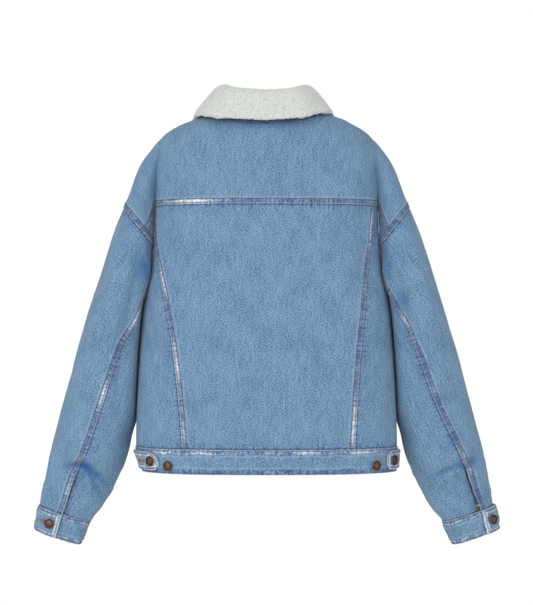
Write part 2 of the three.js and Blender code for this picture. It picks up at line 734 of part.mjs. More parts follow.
add("collar_top", shell(pile, foldGrid), "pile");

// The under collar lies inside the fold. Its lower edge laps down over the neck edge of the panels.
function lapPoint([side, way], lift) {
  return offTorso(side, neckTurn(way), neckZ(neckTurn(way)) - collarLap, lift);
}
const underCollar = (distance) => {
  const stand = moved(foldGrid, foldNormals, -distance);
  const lift = layGap + distance - seamGap;
  return stand.map((row, i) => [lapPoint(round[i], lift), ...row]);
};
add("collar_under", shell(underCollar(seamGap), underCollar(seamGap + thick.under)));

// Buttons: a shank, a flat back, a raised rim and a low dome.
function buttonProfile() {
  const { radius, shank, stand, rim } = button;
  return [
    [0, 0],
    [shank, 0],
    [shank, stand],
    [radius, stand],
    [radius - 0.6, stand + 2.1],
    [radius - rim - 0.6, stand + 1.5],
    [0, stand + 2.4],
  ].map(([x, y]) => new THREE.Vector2(x, y));
}
function addButton(name, at) {
  const foot = at(seamGap);
  const out = at(seamGap + 1).sub(foot).normalize();
  const geometry = new THREE.LatheGeometry(buttonProfile(), 14);
  const mesh = add(name, geometry, "copper");
  mesh.quaternion.setFromUnitVectors(new THREE.Vector3(0, 1, 0), out);
  mesh.position.copy(foot);
}
for (const side of sides) {
  const name = nameOf(side);
  const onTab = layGap + thick.tab;
  const seam = meetBack + seamSwing(side, 1);
  const cuffTurn = seam - (button.radius + 5) * (360 / cuffRound);
  const cuffDrop = (cuffSeamDrop + cuffEdgeDrop) / 2;
  const outerCuff = thick.cuff + layGap;
  addButton(`button_tab_${name}`, (lift) =>
    offTorsoAtX(side * tabPlaces[name].button, bandMiddle, 1, onTab + lift),
  );
  addButton(`button_spare_${name}`, (lift) =>
    offTorsoAtX(side * tabPlaces[name].spare, bandMiddle - 7, 1, lift),
  );
  addButton(`button_cuff_${name}`, (lift) => offArm(side, cuffTurn, cuffDrop, outerCuff + lift));
}
const frontTop = layGap + thick.placket;
for (const [i, f] of steps(frontButtons.count - 1).entries()) {
  const z = mix(frontButtons.top, frontButtons.bottom, f);
  addButton(`button_front_${i + 1}`, (lift) => offTorsoAtX(0, z, -1, frontTop + lift));
}
addButton("button_waist", (lift) =>
  offTorsoAtX(0, bandMiddle, -1, thick.band + layGap + lift),
);

export default jacket;
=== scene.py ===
import bpy
import numpy as np
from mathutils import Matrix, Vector


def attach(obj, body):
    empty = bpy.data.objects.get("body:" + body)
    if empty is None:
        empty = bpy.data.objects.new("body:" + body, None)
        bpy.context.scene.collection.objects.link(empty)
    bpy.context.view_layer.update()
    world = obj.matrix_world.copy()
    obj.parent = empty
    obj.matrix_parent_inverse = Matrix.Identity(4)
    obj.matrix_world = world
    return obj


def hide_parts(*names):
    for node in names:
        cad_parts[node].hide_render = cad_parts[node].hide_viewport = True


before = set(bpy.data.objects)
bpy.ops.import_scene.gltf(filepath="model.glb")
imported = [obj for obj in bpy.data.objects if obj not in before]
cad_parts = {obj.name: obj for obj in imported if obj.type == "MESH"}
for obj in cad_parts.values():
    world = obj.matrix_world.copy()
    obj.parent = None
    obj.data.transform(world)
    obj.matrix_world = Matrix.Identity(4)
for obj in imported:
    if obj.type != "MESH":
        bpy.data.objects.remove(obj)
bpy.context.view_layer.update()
print("frame loaded,", len(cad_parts), "parts")

mm = 0.001  # shapes are worked out in millimetres and put into the meshes in metres

# The body's rings: height, half width, depth to the back, depth to the front, squareness.
torsoRings = [
    (-576, 215, 94, 96, 2.5),
    (-535, 216.5, 98, 101, 2.5),
    (-430, 213.5, 108, 112, 2.5),
    (-345, 208.5, 115, 119, 2.5),
    (-285, 202.5, 118, 123, 2.5),
    (-204, 190.5, 119, 122, 2.5),
    (-141, 187.5, 115, 114, 2.5),
    (-88, 187, 106, 97, 2.4),
    (-48, 184, 93, 80, 2.3),
    (-28, 176, 85, 69, 2.2),
    (-18, 167, 80, 62, 2.2),
    (-8, 151, 74, 55, 2.2),
    (2, 131, 67, 48, 2.2),
    (10, 110, 59, 42, 2.2),
    (17, 88, 48, 34, 2.2),
]

# The arm's tilted rings: drop, outer and inner points, sag of the inner one, back and front.
armRings = [
    (20, 165, 150, 0, 12, -14),
    (28, 177.5, 153, 0, 21, -23),
    (48, 194, 161, 0, 36, -38),
    (68, 207.5, 167, 0, 44, -46),
    (88, 216.6, 171, 0, 50, -52),
    (128, 231, 176, 0, 58, -61),
    (178, 251.5, 178, 0, 69, -73),
    (227, 268, 184, 0, 79, -84),
    (270, 281, 197, 0, 84, -92),
    (300, 290, 207.5, 1, 84, -96),
    (377, 314.6, 214.5, 9, 69, -93),
    (460, 339.5, 219.5, 19, 50, -86),
    (526, 356, 232, 26, 32, -80),
    (580, 369, 258, 30, 15, -76),
    (615, 376.5, 279, 30, 4, -74),
    (636.5, 380.5, 295, 28, -2, -73),
    (676.5, 388, 312, 27.5, -4, -72),
]

# Heights of the neck seam by turn, the back seams' distances from the middle by height, and the
# swing of the sleeve's back seam down the sleeve. The last two give left, then right.
neckline = [
    (-90, -66),
    (-81, -61),
    (-73, -46),
    (-65, -22),
    (-52, 3),
    (-30, 14),
    (0, 17),
    (30, 16.3),
    (46, 12.5),
    (57, 8),
    (64, 4.5),
    (73, -1),
    (90, -4),
]
backSeams = [
    (-540, 136, 143),
    (-461, 142, 147),
    (-371, 152, 153),
    (-296, 164, 160),
    (-245, 174, 164),
    (-200, 181, 170),
    (-140, 182, 175),
]
sleeveSeams = [
    (0, 0, 0),
    (0.21, -4, -10),
    (0.41, -32, -38),
    (0.58, -48, -56),
    (0.74, -58, -74),
    (0.88, -64, -82),
    (1, -60, -84),
]

hemZ, waistZ, yokeZ = -576, -535, -140
cuffSeamDrop, cuffEdgeDrop = 636.5, 676.5
armholeSlant = {"x": 236, "z": -141, "slope": 1.26}
seamGap = 0.2
sides = (1, -1)
nameOf = {1: "left", -1: "right"}


def mix(a, b, f):
    # a plus the share f of the way to b
    return a + (b - a) * f


def smooth(f):
    # the cubic that starts and ends level, after clipping to 0 and 1
    f = np.clip(f, 0, 1)
    return f * f * (3 - 2 * f)


def crowd(count, atEnd=0.6):
    # even steps from 0 to 1 drawn closer together at the end, or at the start if atEnd is below 0
    t = np.linspace(0, 1, count + 1)
    return t + atEnd * t * (1 - t)


def tableAt(rows, at):
    # a cubic between two rows that leaves each row on the slope between its neighbours
    rows = np.array(rows, float)
    key, at = rows[:, 0], np.asarray(at, float)
    before = np.maximum(np.arange(len(key)) - 1, 0)
    after = np.minimum(np.arange(len(key)) + 1, len(key) - 1)
    slope = (rows[after] - rows[before]) / (key[after] - key[before])[:, None]
    i = np.clip(np.searchsorted(key, at, side="right") - 1, 0, len(key) - 2)
    span = (key[i + 1] - key[i])[..., None]
    f = (at - key[i])[..., None] / span
    curve = (2 * f - 3) * f * f
    bend = slope[i] * f * (1 - f) ** 2 - slope[i + 1] * f * f * (1 - f)
    return (rows[i] * (1 + curve) - rows[i + 1] * curve + span * bend)[..., 1:]


def solve(f, low, high):
    # halves the span again and again and keeps the half in which f passes through nothing
    for _ in range(40):
        middle = (low + high) / 2
        short = f(middle) < 0
        low, high = np.where(short, middle, low), np.where(short, high, middle)
    return (low + high) / 2


def reach(turn, square):
    # distance to a rounded square of unit size in the direction of a turn
    flat = np.abs(np.cos(turn)) ** square + np.abs(np.sin(turn)) ** square
    return flat ** (-1 / square)


def torsoPoint(side, turn, z):
    # a rounded box in plan; turn is 0 at the side, 90 at the middle of the back, -90 in front
    turn, z = np.broadcast_arrays(np.asarray(turn, float), np.asarray(z, float))
    half, back, front, square = np.moveaxis(tableAt(torsoRings, z), -1, 0)
    a = np.radians(turn)
    r = reach(a, square)
    depth = np.where(turn > 0, back, front)
    return np.stack([side * half * r * np.cos(a), depth * r * np.sin(a), z], -1)


def armPoint(side, turn, drop):
    # a rounded ring tilted by its sag; turn is 0 at the outer side, 90 at the back, 180 inside
    turn, drop = np.broadcast_arrays(np.asarray(turn, float), np.asarray(drop, float))
    outer, inner, sag, back, front = np.moveaxis(tableAt(armRings, drop), -1, 0)
    a = np.radians(turn)
    r = reach(a, 2.2)
    across = r * np.cos(a)
    x = (outer + inner) / 2 + (outer - inner) / 2 * across
    y = (back + front) / 2 + (back - front) / 2 * r * np.sin(a)
    return np.stack([side * x, y, -drop - sag * (1 - across) / 2], -1)


def outsideTorso(p):
    # the ring's own equation, less one: above 0 outside the body and below 0 inside it
    half, back, front, square = np.moveaxis(tableAt(torsoRings, p[..., 2]), -1, 0)
    depth = np.where(p[..., 1] > 0, back, front)
    across = np.abs(p[..., 0] / half) ** square
    return across + np.abs(p[..., 1] / depth) ** square - 1


def torsoTurn(p):
    # the angle of the place once width and depth are each divided by the ring's own
    half, back, front, _ = np.moveaxis(tableAt(torsoRings, p[..., 2]), -1, 0)
    depth = np.where(p[..., 1] > 0, back, front)
    return np.degrees(np.arctan2(p[..., 1] / depth, np.abs(p[..., 0]) / half))


def turnAtX(x, z):
    # the turn round the body at a distance from its middle, from the ring's equation
    half, _, _, square = np.moveaxis(tableAt(torsoRings, z), -1, 0)
    u = np.minimum(x / half, 1)
    return np.degrees(np.arctan2((1 - u**square) ** (1 / square), u))


def creaseDrop(turn):
    # the drop at which the arm's ring passes through the body's surface: the crease
    turn = np.asarray(turn, float)
    low = np.full(turn.shape, float(armRings[0][0]))
    return solve(lambda d: outsideTorso(armPoint(1, turn, d)), low, low + 280)


def slantDrop(turn):
    # the drop at which the arm's ring meets the slanting plane of the armhole seam
    turn = np.asarray(turn, float)
    low = np.full(turn.shape, float(armRings[0][0]))

    def below(drop):
        # how far under the slanting line the place is
        p = armPoint(1, turn, drop)
        line = armholeSlant["z"] - armholeSlant["slope"] * (armholeSlant["x"] - p[..., 0])
        return line - p[..., 2]

    return solve(below, low, low + 310)


def meeting(way):
    # the turn at which the armhole seam runs into the crease: their drops differ by nothing
    low = np.array(90.0)
    return way * float(solve(lambda t: creaseDrop(way * t) - slantDrop(way * t), low, low + 86))


meetBack, meetFront = meeting(1), meeting(-1)
yokeIn = float(solve(lambda t: creaseDrop(t) + yokeZ, np.array(60.0), np.array(meetBack)))
yokeOut = 120.0
print("crease found; it meets the armhole seam at", round(meetBack), "and", round(meetFront))


def edgeDrop(turn):
    # the lower of the armhole seam and the crease, where the sleeve begins
    return np.maximum(slantDrop(turn), creaseDrop(turn))


def neckZ(turn):
    # the neck seam's height, from its table
    return tableAt(neckline, turn)[..., 0]


def sleeveSwing(side, along):
    # how far round the arm the sleeve's back seam has swung, from its table
    return tableAt(sleeveSeams, along)[..., 0 if side > 0 else 1]


def seamTurn(side, z):
    # the turn of a long back seam at a height, from its distance off the middle
    return turnAtX(tableAt(backSeams, z)[..., 0 if side > 0 else 1], z)


def lattice(i, seed):
    # a fixed number from 0 to 1 for each point of a cubic lattice, from its coordinates' bits
    h = i[..., 0] * 73856093 ^ i[..., 1] * 19349663 ^ i[..., 2] * 83492791 ^ seed * 2654435761
    h = h & 0xFFFFFFFF
    h = (h ^ h >> 13) * 1274126177 & 0xFFFFFFFF
    return ((h ^ h >> 16) & 0xFFFF) / 65535


def noiseAt(p, cell, seed):
    # lattice numbers blended along each axis by the level cubic, from -1 to 1
    q = p / np.asarray(cell, float)
    i = np.floor(q).astype(np.int64)
    f = smooth(q - i)
    total = 0
    for corner in np.ndindex(2, 2, 2):
        weight = np.prod(np.where(corner, f, 1 - f), axis=-1)
        total = total + weight * lattice(i + np.array(corner), seed)
    return 2 * total - 1


def noiseOver(seed, a, b, c=0.0):
    # the same noise over two or three numbers of any matching shapes
    return noiseAt(np.stack(np.broadcast_arrays(a, b, c), -1), 1.0, seed)


def lumpsAt(p, cell, seed):
    # distance to the nearest of the points strewn one to a cell, in cells
    q = p / cell
    i = np.floor(q).astype(np.int64)
    nearest = np.full(q.shape[:-1], 9.0)
    for corner in np.ndindex(3, 3, 3):
        c = i + np.array(corner) - 1
        spot = c + np.stack([lattice(c, seed + k) for k in range(3)], -1)
        nearest = np.minimum(nearest, np.linalg.norm(q - spot, axis=-1))
    return nearest


def arcLengths(grid, axis):
    # distance covered along one direction of a grid, added up from its first line
    steps = np.linalg.norm(np.diff(grid, axis=axis), axis=-1)
    pad = [(0, 0), (0, 0)]
    pad[axis] = (1, 0)
    return np.pad(np.cumsum(steps, axis=axis), pad)


def pathLengths(path):
    # distance covered along a path of points, added up from its start
    return np.append(0, np.cumsum(np.linalg.norm(np.diff(path, axis=0), axis=1)))


def nearestOnLine(points, line):
    # distance to a path of points, and how far along the path the nearest place is
    flat = points.reshape(-1, 3)
    steps = np.diff(line, axis=0)
    lengths = np.linalg.norm(steps, axis=1)
    start = pathLengths(line)
    square = (flat**2).sum(1)[:, None] + (line**2).sum(1) - 2 * flat @ line.T
    best = np.argmin(square, axis=1)
    distance, along = np.full(len(flat), 1e9), np.zeros(len(flat))
    for shift in (-1, 0):
        k = np.clip(best + shift, 0, len(steps) - 1)
        f = ((flat - line[k]) * steps[k]).sum(1) / np.maximum(lengths[k] ** 2, 1e-9)
        f = np.clip(f, 0, 1)
        d = np.linalg.norm(flat - line[k] - steps[k] * f[:, None], axis=1)
        closer = d < distance
        distance = np.where(closer, d, distance)
        along = np.where(closer, start[k] + f * lengths[k], along)
    return distance.reshape(points.shape[:-1]), along.reshape(points.shape[:-1])


def weld(grid):
    # one vertex for all the points of a grid that share a place, and the faces left between them
    rows, cols = grid.shape[:2]
    keys = np.round(grid.reshape(-1, 3), 3)
    _, first, ids = np.unique(keys, axis=0, return_index=True, return_inverse=True)
    ids = ids.reshape(rows, cols)
    a, b, c, d = ids[:-1, :-1], ids[:-1, 1:], ids[1:, 1:], ids[1:, :-1]
    halves = np.concatenate([np.stack(t, -1).reshape(-1, 3) for t in ((a, b, c), (a, c, d))])
    real = (halves[:, 0] != halves[:, 1]) & (halves[:, 1] != halves[:, 2])
    return ids, first, halves[real & (halves[:, 0] != halves[:, 2])]


def vertexNormals(points, faces):
    # the mean of the normals of the faces round each vertex, weighted by their size
    a, b, c = points[faces[:, 0]], points[faces[:, 1]], points[faces[:, 2]]
    n = np.cross(b - a, c - a)
    total = np.zeros_like(points)
    for k in range(3):
        np.add.at(total, faces[:, k], n)
    return total / np.maximum(np.linalg.norm(total, axis=1), 1e-9)[:, None]


def linear(text):
    # an sRGB hex colour as linear light
    c = np.array([int(text[i : i + 2], 16) / 255 for i in (1, 3, 5)])
    c = np.where(c <= 0.04045, c / 12.92, ((c + 0.055) / 1.055) ** 2.4)
    return (*c.tolist(), 1.0)


def addNode(tree, kind, settings=None, links=None):
    # one node: settings are its own properties or its inputs' values, links its inputs' sources
    node = tree.nodes.new(kind)
    for key, value in (settings or {}).items():
        if isinstance(key, int) or key in node.inputs:
            node.inputs[key].default_value = value
        else:
            setattr(node, key, value)
    for key, source in (links or {}).items():
        tree.links.new(source, node.inputs[key])
    return node


def newMaterial(name):
    # an empty node tree under a name
    material = bpy.data.materials.new(name)
    material.use_nodes = True
    material.node_tree.nodes.clear()
    return material, material.node_tree


# Washed denim: a cotton twill of blue warp over white weft. The dye sits only on the outside of
# each thread, so the cloth is pale and grainy, white where it is rubbed and dark with dye kept
# beside seams; a painted shadow line runs under each seam's folded edge.
denim = {
    "deep": "#2c4f73",
    "pale": "#84a4bd",
    "worn": "#d3dde2",
    "unfadedDyeAndShade": "#265489",
    "seamShade": "#2a5187",
    "fleckMm": 1.3,  # thread spacing is 0.6 mm, drawn coarser so that it shows
    "streakMm": 22,
    "mottleMm": 34,
    "puckerMm": 3.6,
    "grainDepth": 0.0004,
    "puckerDepth": 0.0007,
    "roughness": 0.88,
}


def denimMaterial(name):
    # grain blends the deep and pale dyes; then seam shade (dye kept in the band and a painted shadow
    # under the folded edge), rubbed white, and dark dye with painted shade go over it
    material, tree = newMaterial(name)
    cloth = addNode(tree, "ShaderNodeUVMap", {"uv_map": "cloth"}).outputs[0]
    seam = addNode(tree, "ShaderNodeUVMap", {"uv_map": "seam"}).outputs[0]
    marks = addNode(tree, "ShaderNodeAttribute", {"attribute_name": "marks"}).outputs["Color"]
    wear, dyeAndShade, over = addNode(tree, "ShaderNodeSeparateColor", {}, {0: marks}).outputs

    def calc(operation, a, b=0.5, clamp=False):
        # one sum on two inputs, each a number or the output of a node
        settings = {"operation": operation, "use_clamp": clamp}
        links = {}
        for slot, value in ((0, a), (1, b)):
            if isinstance(value, bpy.types.NodeSocket):
                links[slot] = value
            else:
                settings[slot] = value
        return addNode(tree, "ShaderNodeMath", settings, links).outputs[0]

    def spots(vector, xMm, yMm, detail=2.0, turn=0.0):
        # soft noise whose cells are so many millimetres wide and tall
        settings = {"Rotation": (0, 0, turn), "Scale": (1000 / xMm, 1000 / yMm, 1)}
        placed = addNode(tree, "ShaderNodeMapping", settings, {0: vector}).outputs[0]
        values = {"Scale": 1.0, "Detail": detail, "Roughness": 0.6}
        return addNode(tree, "ShaderNodeTexNoise", values, {"Vector": placed}).outputs[0]

    def hump(value, centre, width):
        # a bell round a distance: e to the minus square of how many widths off it is
        off = calc("DIVIDE", calc("SUBTRACT", value, centre), width)
        return calc("EXPONENT", calc("MULTIPLY", calc("MULTIPLY", off, off), -1.0))

    def blend(colour, factor, towards):
        # the colour moved by the factor towards another
        values = {7: linear(towards), "data_type": "RGBA"}
        return addNode(tree, "ShaderNodeMix", values, {0: factor, 6: colour}).outputs[2]

    fleck = spots(cloth, denim["fleckMm"] * 1.9, denim["fleckMm"], 2.0, 0.75)
    fine = spots(cloth, 1.1, 1.1, 1.0)
    streak = spots(cloth, 5, denim["streakMm"], 2.0)
    mottle = spots(cloth, denim["mottleMm"], denim["mottleMm"] * 1.4, 3.0)
    grain = calc("ADD", calc("MULTIPLY", fleck, 1.7), calc("MULTIPLY", fine, 1.1))
    tone = calc("ADD", grain, calc("MULTIPLY", streak, 0.35))
    tone = calc("ADD", tone, calc("MULTIPLY", mottle, 0.3))
    tone = calc("ADD", calc("MULTIPLY", calc("SUBTRACT", tone, 1.73), 1.55), 0.5, True)
    colours = {6: linear(denim["deep"]), 7: linear(denim["pale"]), "data_type": "RGBA"}
    colour = addNode(tree, "ShaderNodeMix", colours, {0: tone}).outputs[2]

    # beside a seam: x is the way along it and y the distance from it, both in metres
    split = addNode(tree, "ShaderNodeSeparateXYZ", {}, {0: seam})
    off = calc("MULTIPLY", split.outputs[1], 1000.0)
    under = calc("SUBTRACT", 1.0, over)
    pucker = spots(seam, denim["puckerMm"], 11.0, 1.5)
    patches = spots(seam, 46, 400, 1.0)
    fade = calc("MULTIPLY", calc("DIVIDE", off, 11.0), calc("DIVIDE", off, 11.0))
    near = calc("DIVIDE", 1.0, calc("ADD", 1.0, calc("MULTIPLY", fade, fade)))
    ripple = calc("MULTIPLY", calc("SUBTRACT", pucker, 0.5), near)
    folded = calc("MULTIPLY", over, hump(off, 4.5, 4.2))
    # painted shadow: a dark line on the under piece right at the seam, where the folded edge casts
    # its shadow
    shadow = calc("MULTIPLY", under, hump(off, 0.0, 2.2))
    shade = calc("ADD", calc("MULTIPLY", folded, 0.5), calc("MULTIPLY", shadow, 0.85))
    shade = calc("SUBTRACT", shade, calc("MULTIPLY", ripple, 3.4), True)
    colour = blend(colour, shade, denim["seamShade"])
    halo = calc("MULTIPLY", over, calc("MULTIPLY", hump(off, 11.0, 1.6), 0.12))
    colour = blend(colour, halo, denim["worn"])

    # the folded edge and the ridge between the stitch rows are rubbed, most of all in patches
    patchy = calc("MULTIPLY", calc("SUBTRACT", patches, 0.5), 3.0, True)
    rub = calc("ADD", wear, calc("MULTIPLY", patchy, 0.45))
    ridge = calc("MULTIPLY", hump(off, 5.2, 2.1), rub)
    lip = calc("MULTIPLY", hump(off, 0.5, 0.9), calc("ADD", calc("MULTIPLY", rub, 0.6), 0.45))
    broken = calc("ADD", calc("MULTIPLY", fleck, 1.3), calc("MULTIPLY", pucker, 1.1))
    broken = calc("MULTIPLY", calc("SUBTRACT", broken, 0.95), 3.0, True)
    rubbed = calc("MULTIPLY", calc("MULTIPLY", over, calc("ADD", ridge, lip)), broken, True)
    colour = blend(colour, rubbed, denim["worn"])
    # darkened towards unfaded blue by the green mark: dye blotches, plus painted shade in narrow fold
    # hollows, under the collar's lap and at the right crease
    dark = calc("MULTIPLY", dyeAndShade, calc("ADD", calc("MULTIPLY", fleck, 0.9), 0.35), True)
    colour = blend(colour, dark, denim["unfadedDyeAndShade"])

    bump = {"Strength": 1.0, "Distance": denim["grainDepth"]}
    relief = addNode(tree, "ShaderNodeBump", bump, {"Height": grain}).outputs[0]
    bump = {"Strength": 1.0, "Distance": denim["puckerDepth"]}
    links = {"Height": calc("MULTIPLY", ripple, 2.0), "Normal": relief}
    relief = addNode(tree, "ShaderNodeBump", bump, links).outputs[0]
    settings = {"Roughness": denim["roughness"], "Sheen Weight": 0.08, "Sheen Roughness": 0.6}
    settings["Specular IOR Level"] = 0.2
    links = {"Base Color": colour, "Normal": relief}
    shader = addNode(tree, "ShaderNodeBsdfPrincipled", settings, links)
    addNode(tree, "ShaderNodeOutputMaterial", {}, {0: shader.outputs[0]})
    return material


# Curly pile: polyester teased into tight curls on a knit. It scatters light, so it looks soft and
# nearly white; the grey in the gaps between the curls is painted shade.
# root is the grey painted into the gaps between curls as shade
pile = {"tip": "#ced0cd", "root": "#9ba099", "curlMm": 3.4, "depth": 0.0014, "roughness": 0.95}


def pileMaterial(name, settingsOf):
    # from tip to root colour, the grey root being painted shade, by 0.55 of the curl noise plus 0.9
    # of how deep the mesh's dimple is
    material, tree = newMaterial(name)
    place = addNode(tree, "ShaderNodeTexCoord").outputs["Object"]
    marks = addNode(tree, "ShaderNodeAttribute", {"attribute_name": "marks"}).outputs["Color"]
    creviceShade = addNode(tree, "ShaderNodeSeparateColor", {}, {0: marks}).outputs[2]
    scale = {"Scale": 1000 / settingsOf["curlMm"], "Detail": 3.0, "Roughness": 0.65}
    curl = addNode(tree, "ShaderNodeTexNoise", scale, {"Vector": place}).outputs[0]
    scale = {"Scale": 2200 / settingsOf["curlMm"], "Detail": 2.0, "Roughness": 0.6}
    fibre = addNode(tree, "ShaderNodeTexNoise", scale, {"Vector": place}).outputs[0]
    half = {"operation": "MULTIPLY_ADD", 1: 0.55, 2: 0.0}
    deep = addNode(tree, "ShaderNodeMath", half, {0: curl}).outputs[0]
    joined = {"operation": "MULTIPLY_ADD", 1: 0.9, "use_clamp": True}
    deep = addNode(tree, "ShaderNodeMath", joined, {0: creviceShade, 2: deep}).outputs[0]
    colours = {6: linear(settingsOf["tip"]), 7: linear(settingsOf["root"]), "data_type": "RGBA"}
    colour = addNode(tree, "ShaderNodeMix", colours, {0: deep}).outputs[2]
    bump = {"Strength": 0.9, "Distance": settingsOf["depth"]}
    relief = addNode(tree, "ShaderNodeBump", bump, {"Height": curl}).outputs[0]
    bump = {"Strength": 0.6, "Distance": settingsOf["depth"] * 0.5}
    relief = addNode(tree, "ShaderNodeBump", bump, {"Height": fibre, "Normal": relief}).outputs[0]
    settings = {"Roughness": settingsOf["roughness"], "Sheen Weight": 0.35}
    settings["Specular IOR Level"] = 0.1
    links = {"Base Color": colour, "Normal": relief}
    shader = addNode(tree, "ShaderNodeBsdfPrincipled", settings, links)
    addNode(tree, "ShaderNodeOutputMaterial", {}, {0: shader.outputs[0]})
    return material


# Topstitch thread: polyester core spun with cotton, tobacco brown, faded unevenly in the wash.
thread = {
    "brown": ("#4b3428", "#6b4d3c"),
    "tan": ("#806852", "#a48d75"),
    "amber": ("#8a4f1c", "#a8611c"),
    "roughness": 0.7,
}


def threadMaterial(name, colourText, paler):
    # noise blends the thread's colour and its faded one
    material, tree = newMaterial(name)
    place = addNode(tree, "ShaderNodeTexCoord").outputs["Object"]
    scale = {"Scale": 90.0, "Detail": 3.0}
    fade = addNode(tree, "ShaderNodeTexNoise", scale, {"Vector": place}).outputs[0]
    colours = {6: linear(colourText), 7: linear(paler), "data_type": "RGBA"}
    colour = addNode(tree, "ShaderNodeMix", colours, {0: fade}).outputs[2]
    settings = {"Roughness": thread["roughness"], "Specular IOR Level": 0.3}
    shader = addNode(tree, "ShaderNodeBsdfPrincipled", settings, {"Base Color": colour})
    addNode(tree, "ShaderNodeOutputMaterial", {}, {0: shader.outputs[0]})
    return material


# Antique copper plate on brass: dipped dark, then brushed, so rims and high spots are bare.
copper = {"bright": "#7d5c4e", "dark": "#2c201d", "roughness": 0.45}


def copperMaterial(name):
    # from bright to dark by 0.7 of the stain noise plus how hollow the place is
    material, tree = newMaterial(name)
    place = addNode(tree, "ShaderNodeTexCoord").outputs["Object"]
    scale = {"Scale": 420.0, "Detail": 3.0}
    stain = addNode(tree, "ShaderNodeTexNoise", scale, {"Vector": place}).outputs[0]
    marks = addNode(tree, "ShaderNodeAttribute", {"attribute_name": "marks"}).outputs["Color"]
    hollow = addNode(tree, "ShaderNodeSeparateColor", {}, {0: marks}).outputs[2]
    add = {"operation": "MULTIPLY_ADD", 1: 0.7, "use_clamp": True}
    dark = addNode(tree, "ShaderNodeMath", add, {0: stain, 2: hollow}).outputs[0]
    colours = {6: linear(copper["bright"]), 7: linear(copper["dark"]), "data_type": "RGBA"}
    colour = addNode(tree, "ShaderNodeMix", colours, {0: dark}).outputs[2]
    settings = {"Roughness": copper["roughness"], "Metallic": 0.85}
    shader = addNode(tree, "ShaderNodeBsdfPrincipled", settings, {"Base Color": colour})
    addNode(tree, "ShaderNodeOutputMaterial", {}, {0: shader.outputs[0]})
    return material


washedDenim = denimMaterial("washedDenimTwill")
curlyPile = pileMaterial("curlyPileFleece", pile)
liningPile = pileMaterial("liningPileFleece", {**pile, "curlMm": 4.0})
threads = {
    "brown": threadMaterial("tobaccoThread", *thread["brown"]),
    "tan": threadMaterial("fadedTobaccoThread", *thread["tan"]),
    "amber": threadMaterial("amberTackThread", *thread["amber"]),
}
agedCopper = copperMaterial("antiqueCopperPlate")
print("materials ready")


def makePiece(name, points, faces, material, uv=None, seam=None, marks=None, node=None):
    # puts arrays of places, faces and marks into a mesh that replaces one part of the frame
    mesh = bpy.data.meshes.new(name)
    mesh.from_pydata(points * mm, [], faces.tolist())
    corner = np.empty(len(mesh.loops), np.int32)
    mesh.loops.foreach_get("vertex_index", corner)
    for layerName, values in (("cloth", uv), ("seam", seam)):
        if values is not None:
            layer = mesh.uv_layers.new(name=layerName)
            layer.data.foreach_set("uv", (values[corner] * mm).astype(np.float32).ravel())
    if marks is None:
        marks = np.zeros((len(points), 3))
    colour = np.concatenate([marks, np.ones((len(points), 1))], 1).astype(np.float32)
    layer = mesh.color_attributes.new("marks", "FLOAT_COLOR", "POINT")
    layer.data.foreach_set("color", colour.ravel())
    mesh.materials.append(material)
    mesh.polygons.foreach_set("use_smooth", np.ones(len(mesh.polygons), bool))
    mesh.update()
    piece = bpy.data.objects.new(name, mesh)
    bpy.context.collection.objects.link(piece)
    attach(piece, "root")
    if node:
        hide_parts(node)
    return piece


def thicken(piece, wall, inside):
    # gives a sheet its wall, inwards, with the lining's finish on the inner face
    piece.data.materials.append(inside)
    solid = piece.modifiers.new("wall", "SOLIDIFY")
    solid.thickness = wall * mm
    solid.offset = -1
    solid.material_offset = 1
    solid.material_offset_rim = 0


contact = {"reach": 42, "gap": 0.5, "untilZ": -470, "goneZ": -525}


def leanOnBody(p, along):
    # narrows the space between sleeve and body to a hair, by a power of how wide it is
    half, back, front, square = np.moveaxis(tableAt(torsoRings, p[..., 2]), -1, 0)
    depth = np.where(p[..., 1] > 0, back, front)
    edge = half * np.maximum(1 - np.abs(p[..., 1] / depth) ** square, 0) ** (1 / square)
    space = np.abs(p[..., 0]) - edge
    share = np.clip(space / contact["reach"], 0, 1)
    closed = contact["gap"] + (contact["reach"] - contact["gap"]) * share**2.2
    closing = smooth((p[..., 2] - contact["goneZ"]) / (contact["untilZ"] - contact["goneZ"]))
    shift = np.where(share < 1, np.minimum(closed - space, 0), 0) * closing * smooth(along / 0.12)
    moved = p.copy()
    moved[..., 0] += np.sign(p[..., 0]) * shift
    return moved


def sleevePanel(side, turns, seamEnd, dips):
    # stations on the armhole seam carried down the arm, their last edge following the back seam
    along = np.linspace(0, 1, 191)[:, None]
    share = (turns - turns[0]) / (turns[-1] - turns[0])
    swing = sleeveSwing(side, along) * (share if seamEnd else 1 - share)
    drop = mix(edgeDrop(turns)[None] + 0.6, cuffSeamDrop - 0.6, along)
    p = armPoint(side, turns + swing, drop)
    centre = (armPoint(side, 0, drop) + armPoint(side, 180, drop)) / 2
    away = np.abs(turns + swing - (turns[-1] if seamEnd else turns[0]) - sleeveSwing(side, along))
    opened = smooth((along - slit["from"]) / slit["run"])
    depth = dips * slit["depth"] * opened * smooth(1 - np.radians(away) * 40 / slit["width"])
    inward = centre - p
    dipped = p + inward / np.linalg.norm(inward, axis=-1)[..., None] * depth[..., None]
    return leanOnBody(dipped, along)


# Seams as paths on the smooth surface.
def yokeSeamLine():
    # level across the back, then down over each arm's cap to the armhole seam
    halves = []
    for side in sides:
        f = np.linspace(0, 1, 24)
        turn = mix(yokeIn, yokeOut, f)
        drop = mix(-yokeZ, float(slantDrop(yokeOut)), f)
        cap = armPoint(side, turn, drop)
        x = np.linspace(0, float(armPoint(1, yokeIn, -yokeZ)[0]), 120)
        level = np.full(x.shape, float(yokeZ))
        flat = torsoPoint(side, turnAtX(x, level), level)
        halves.append(np.concatenate([flat, cap[1:]]))
    return np.concatenate([halves[1][::-1], halves[0][1:]])


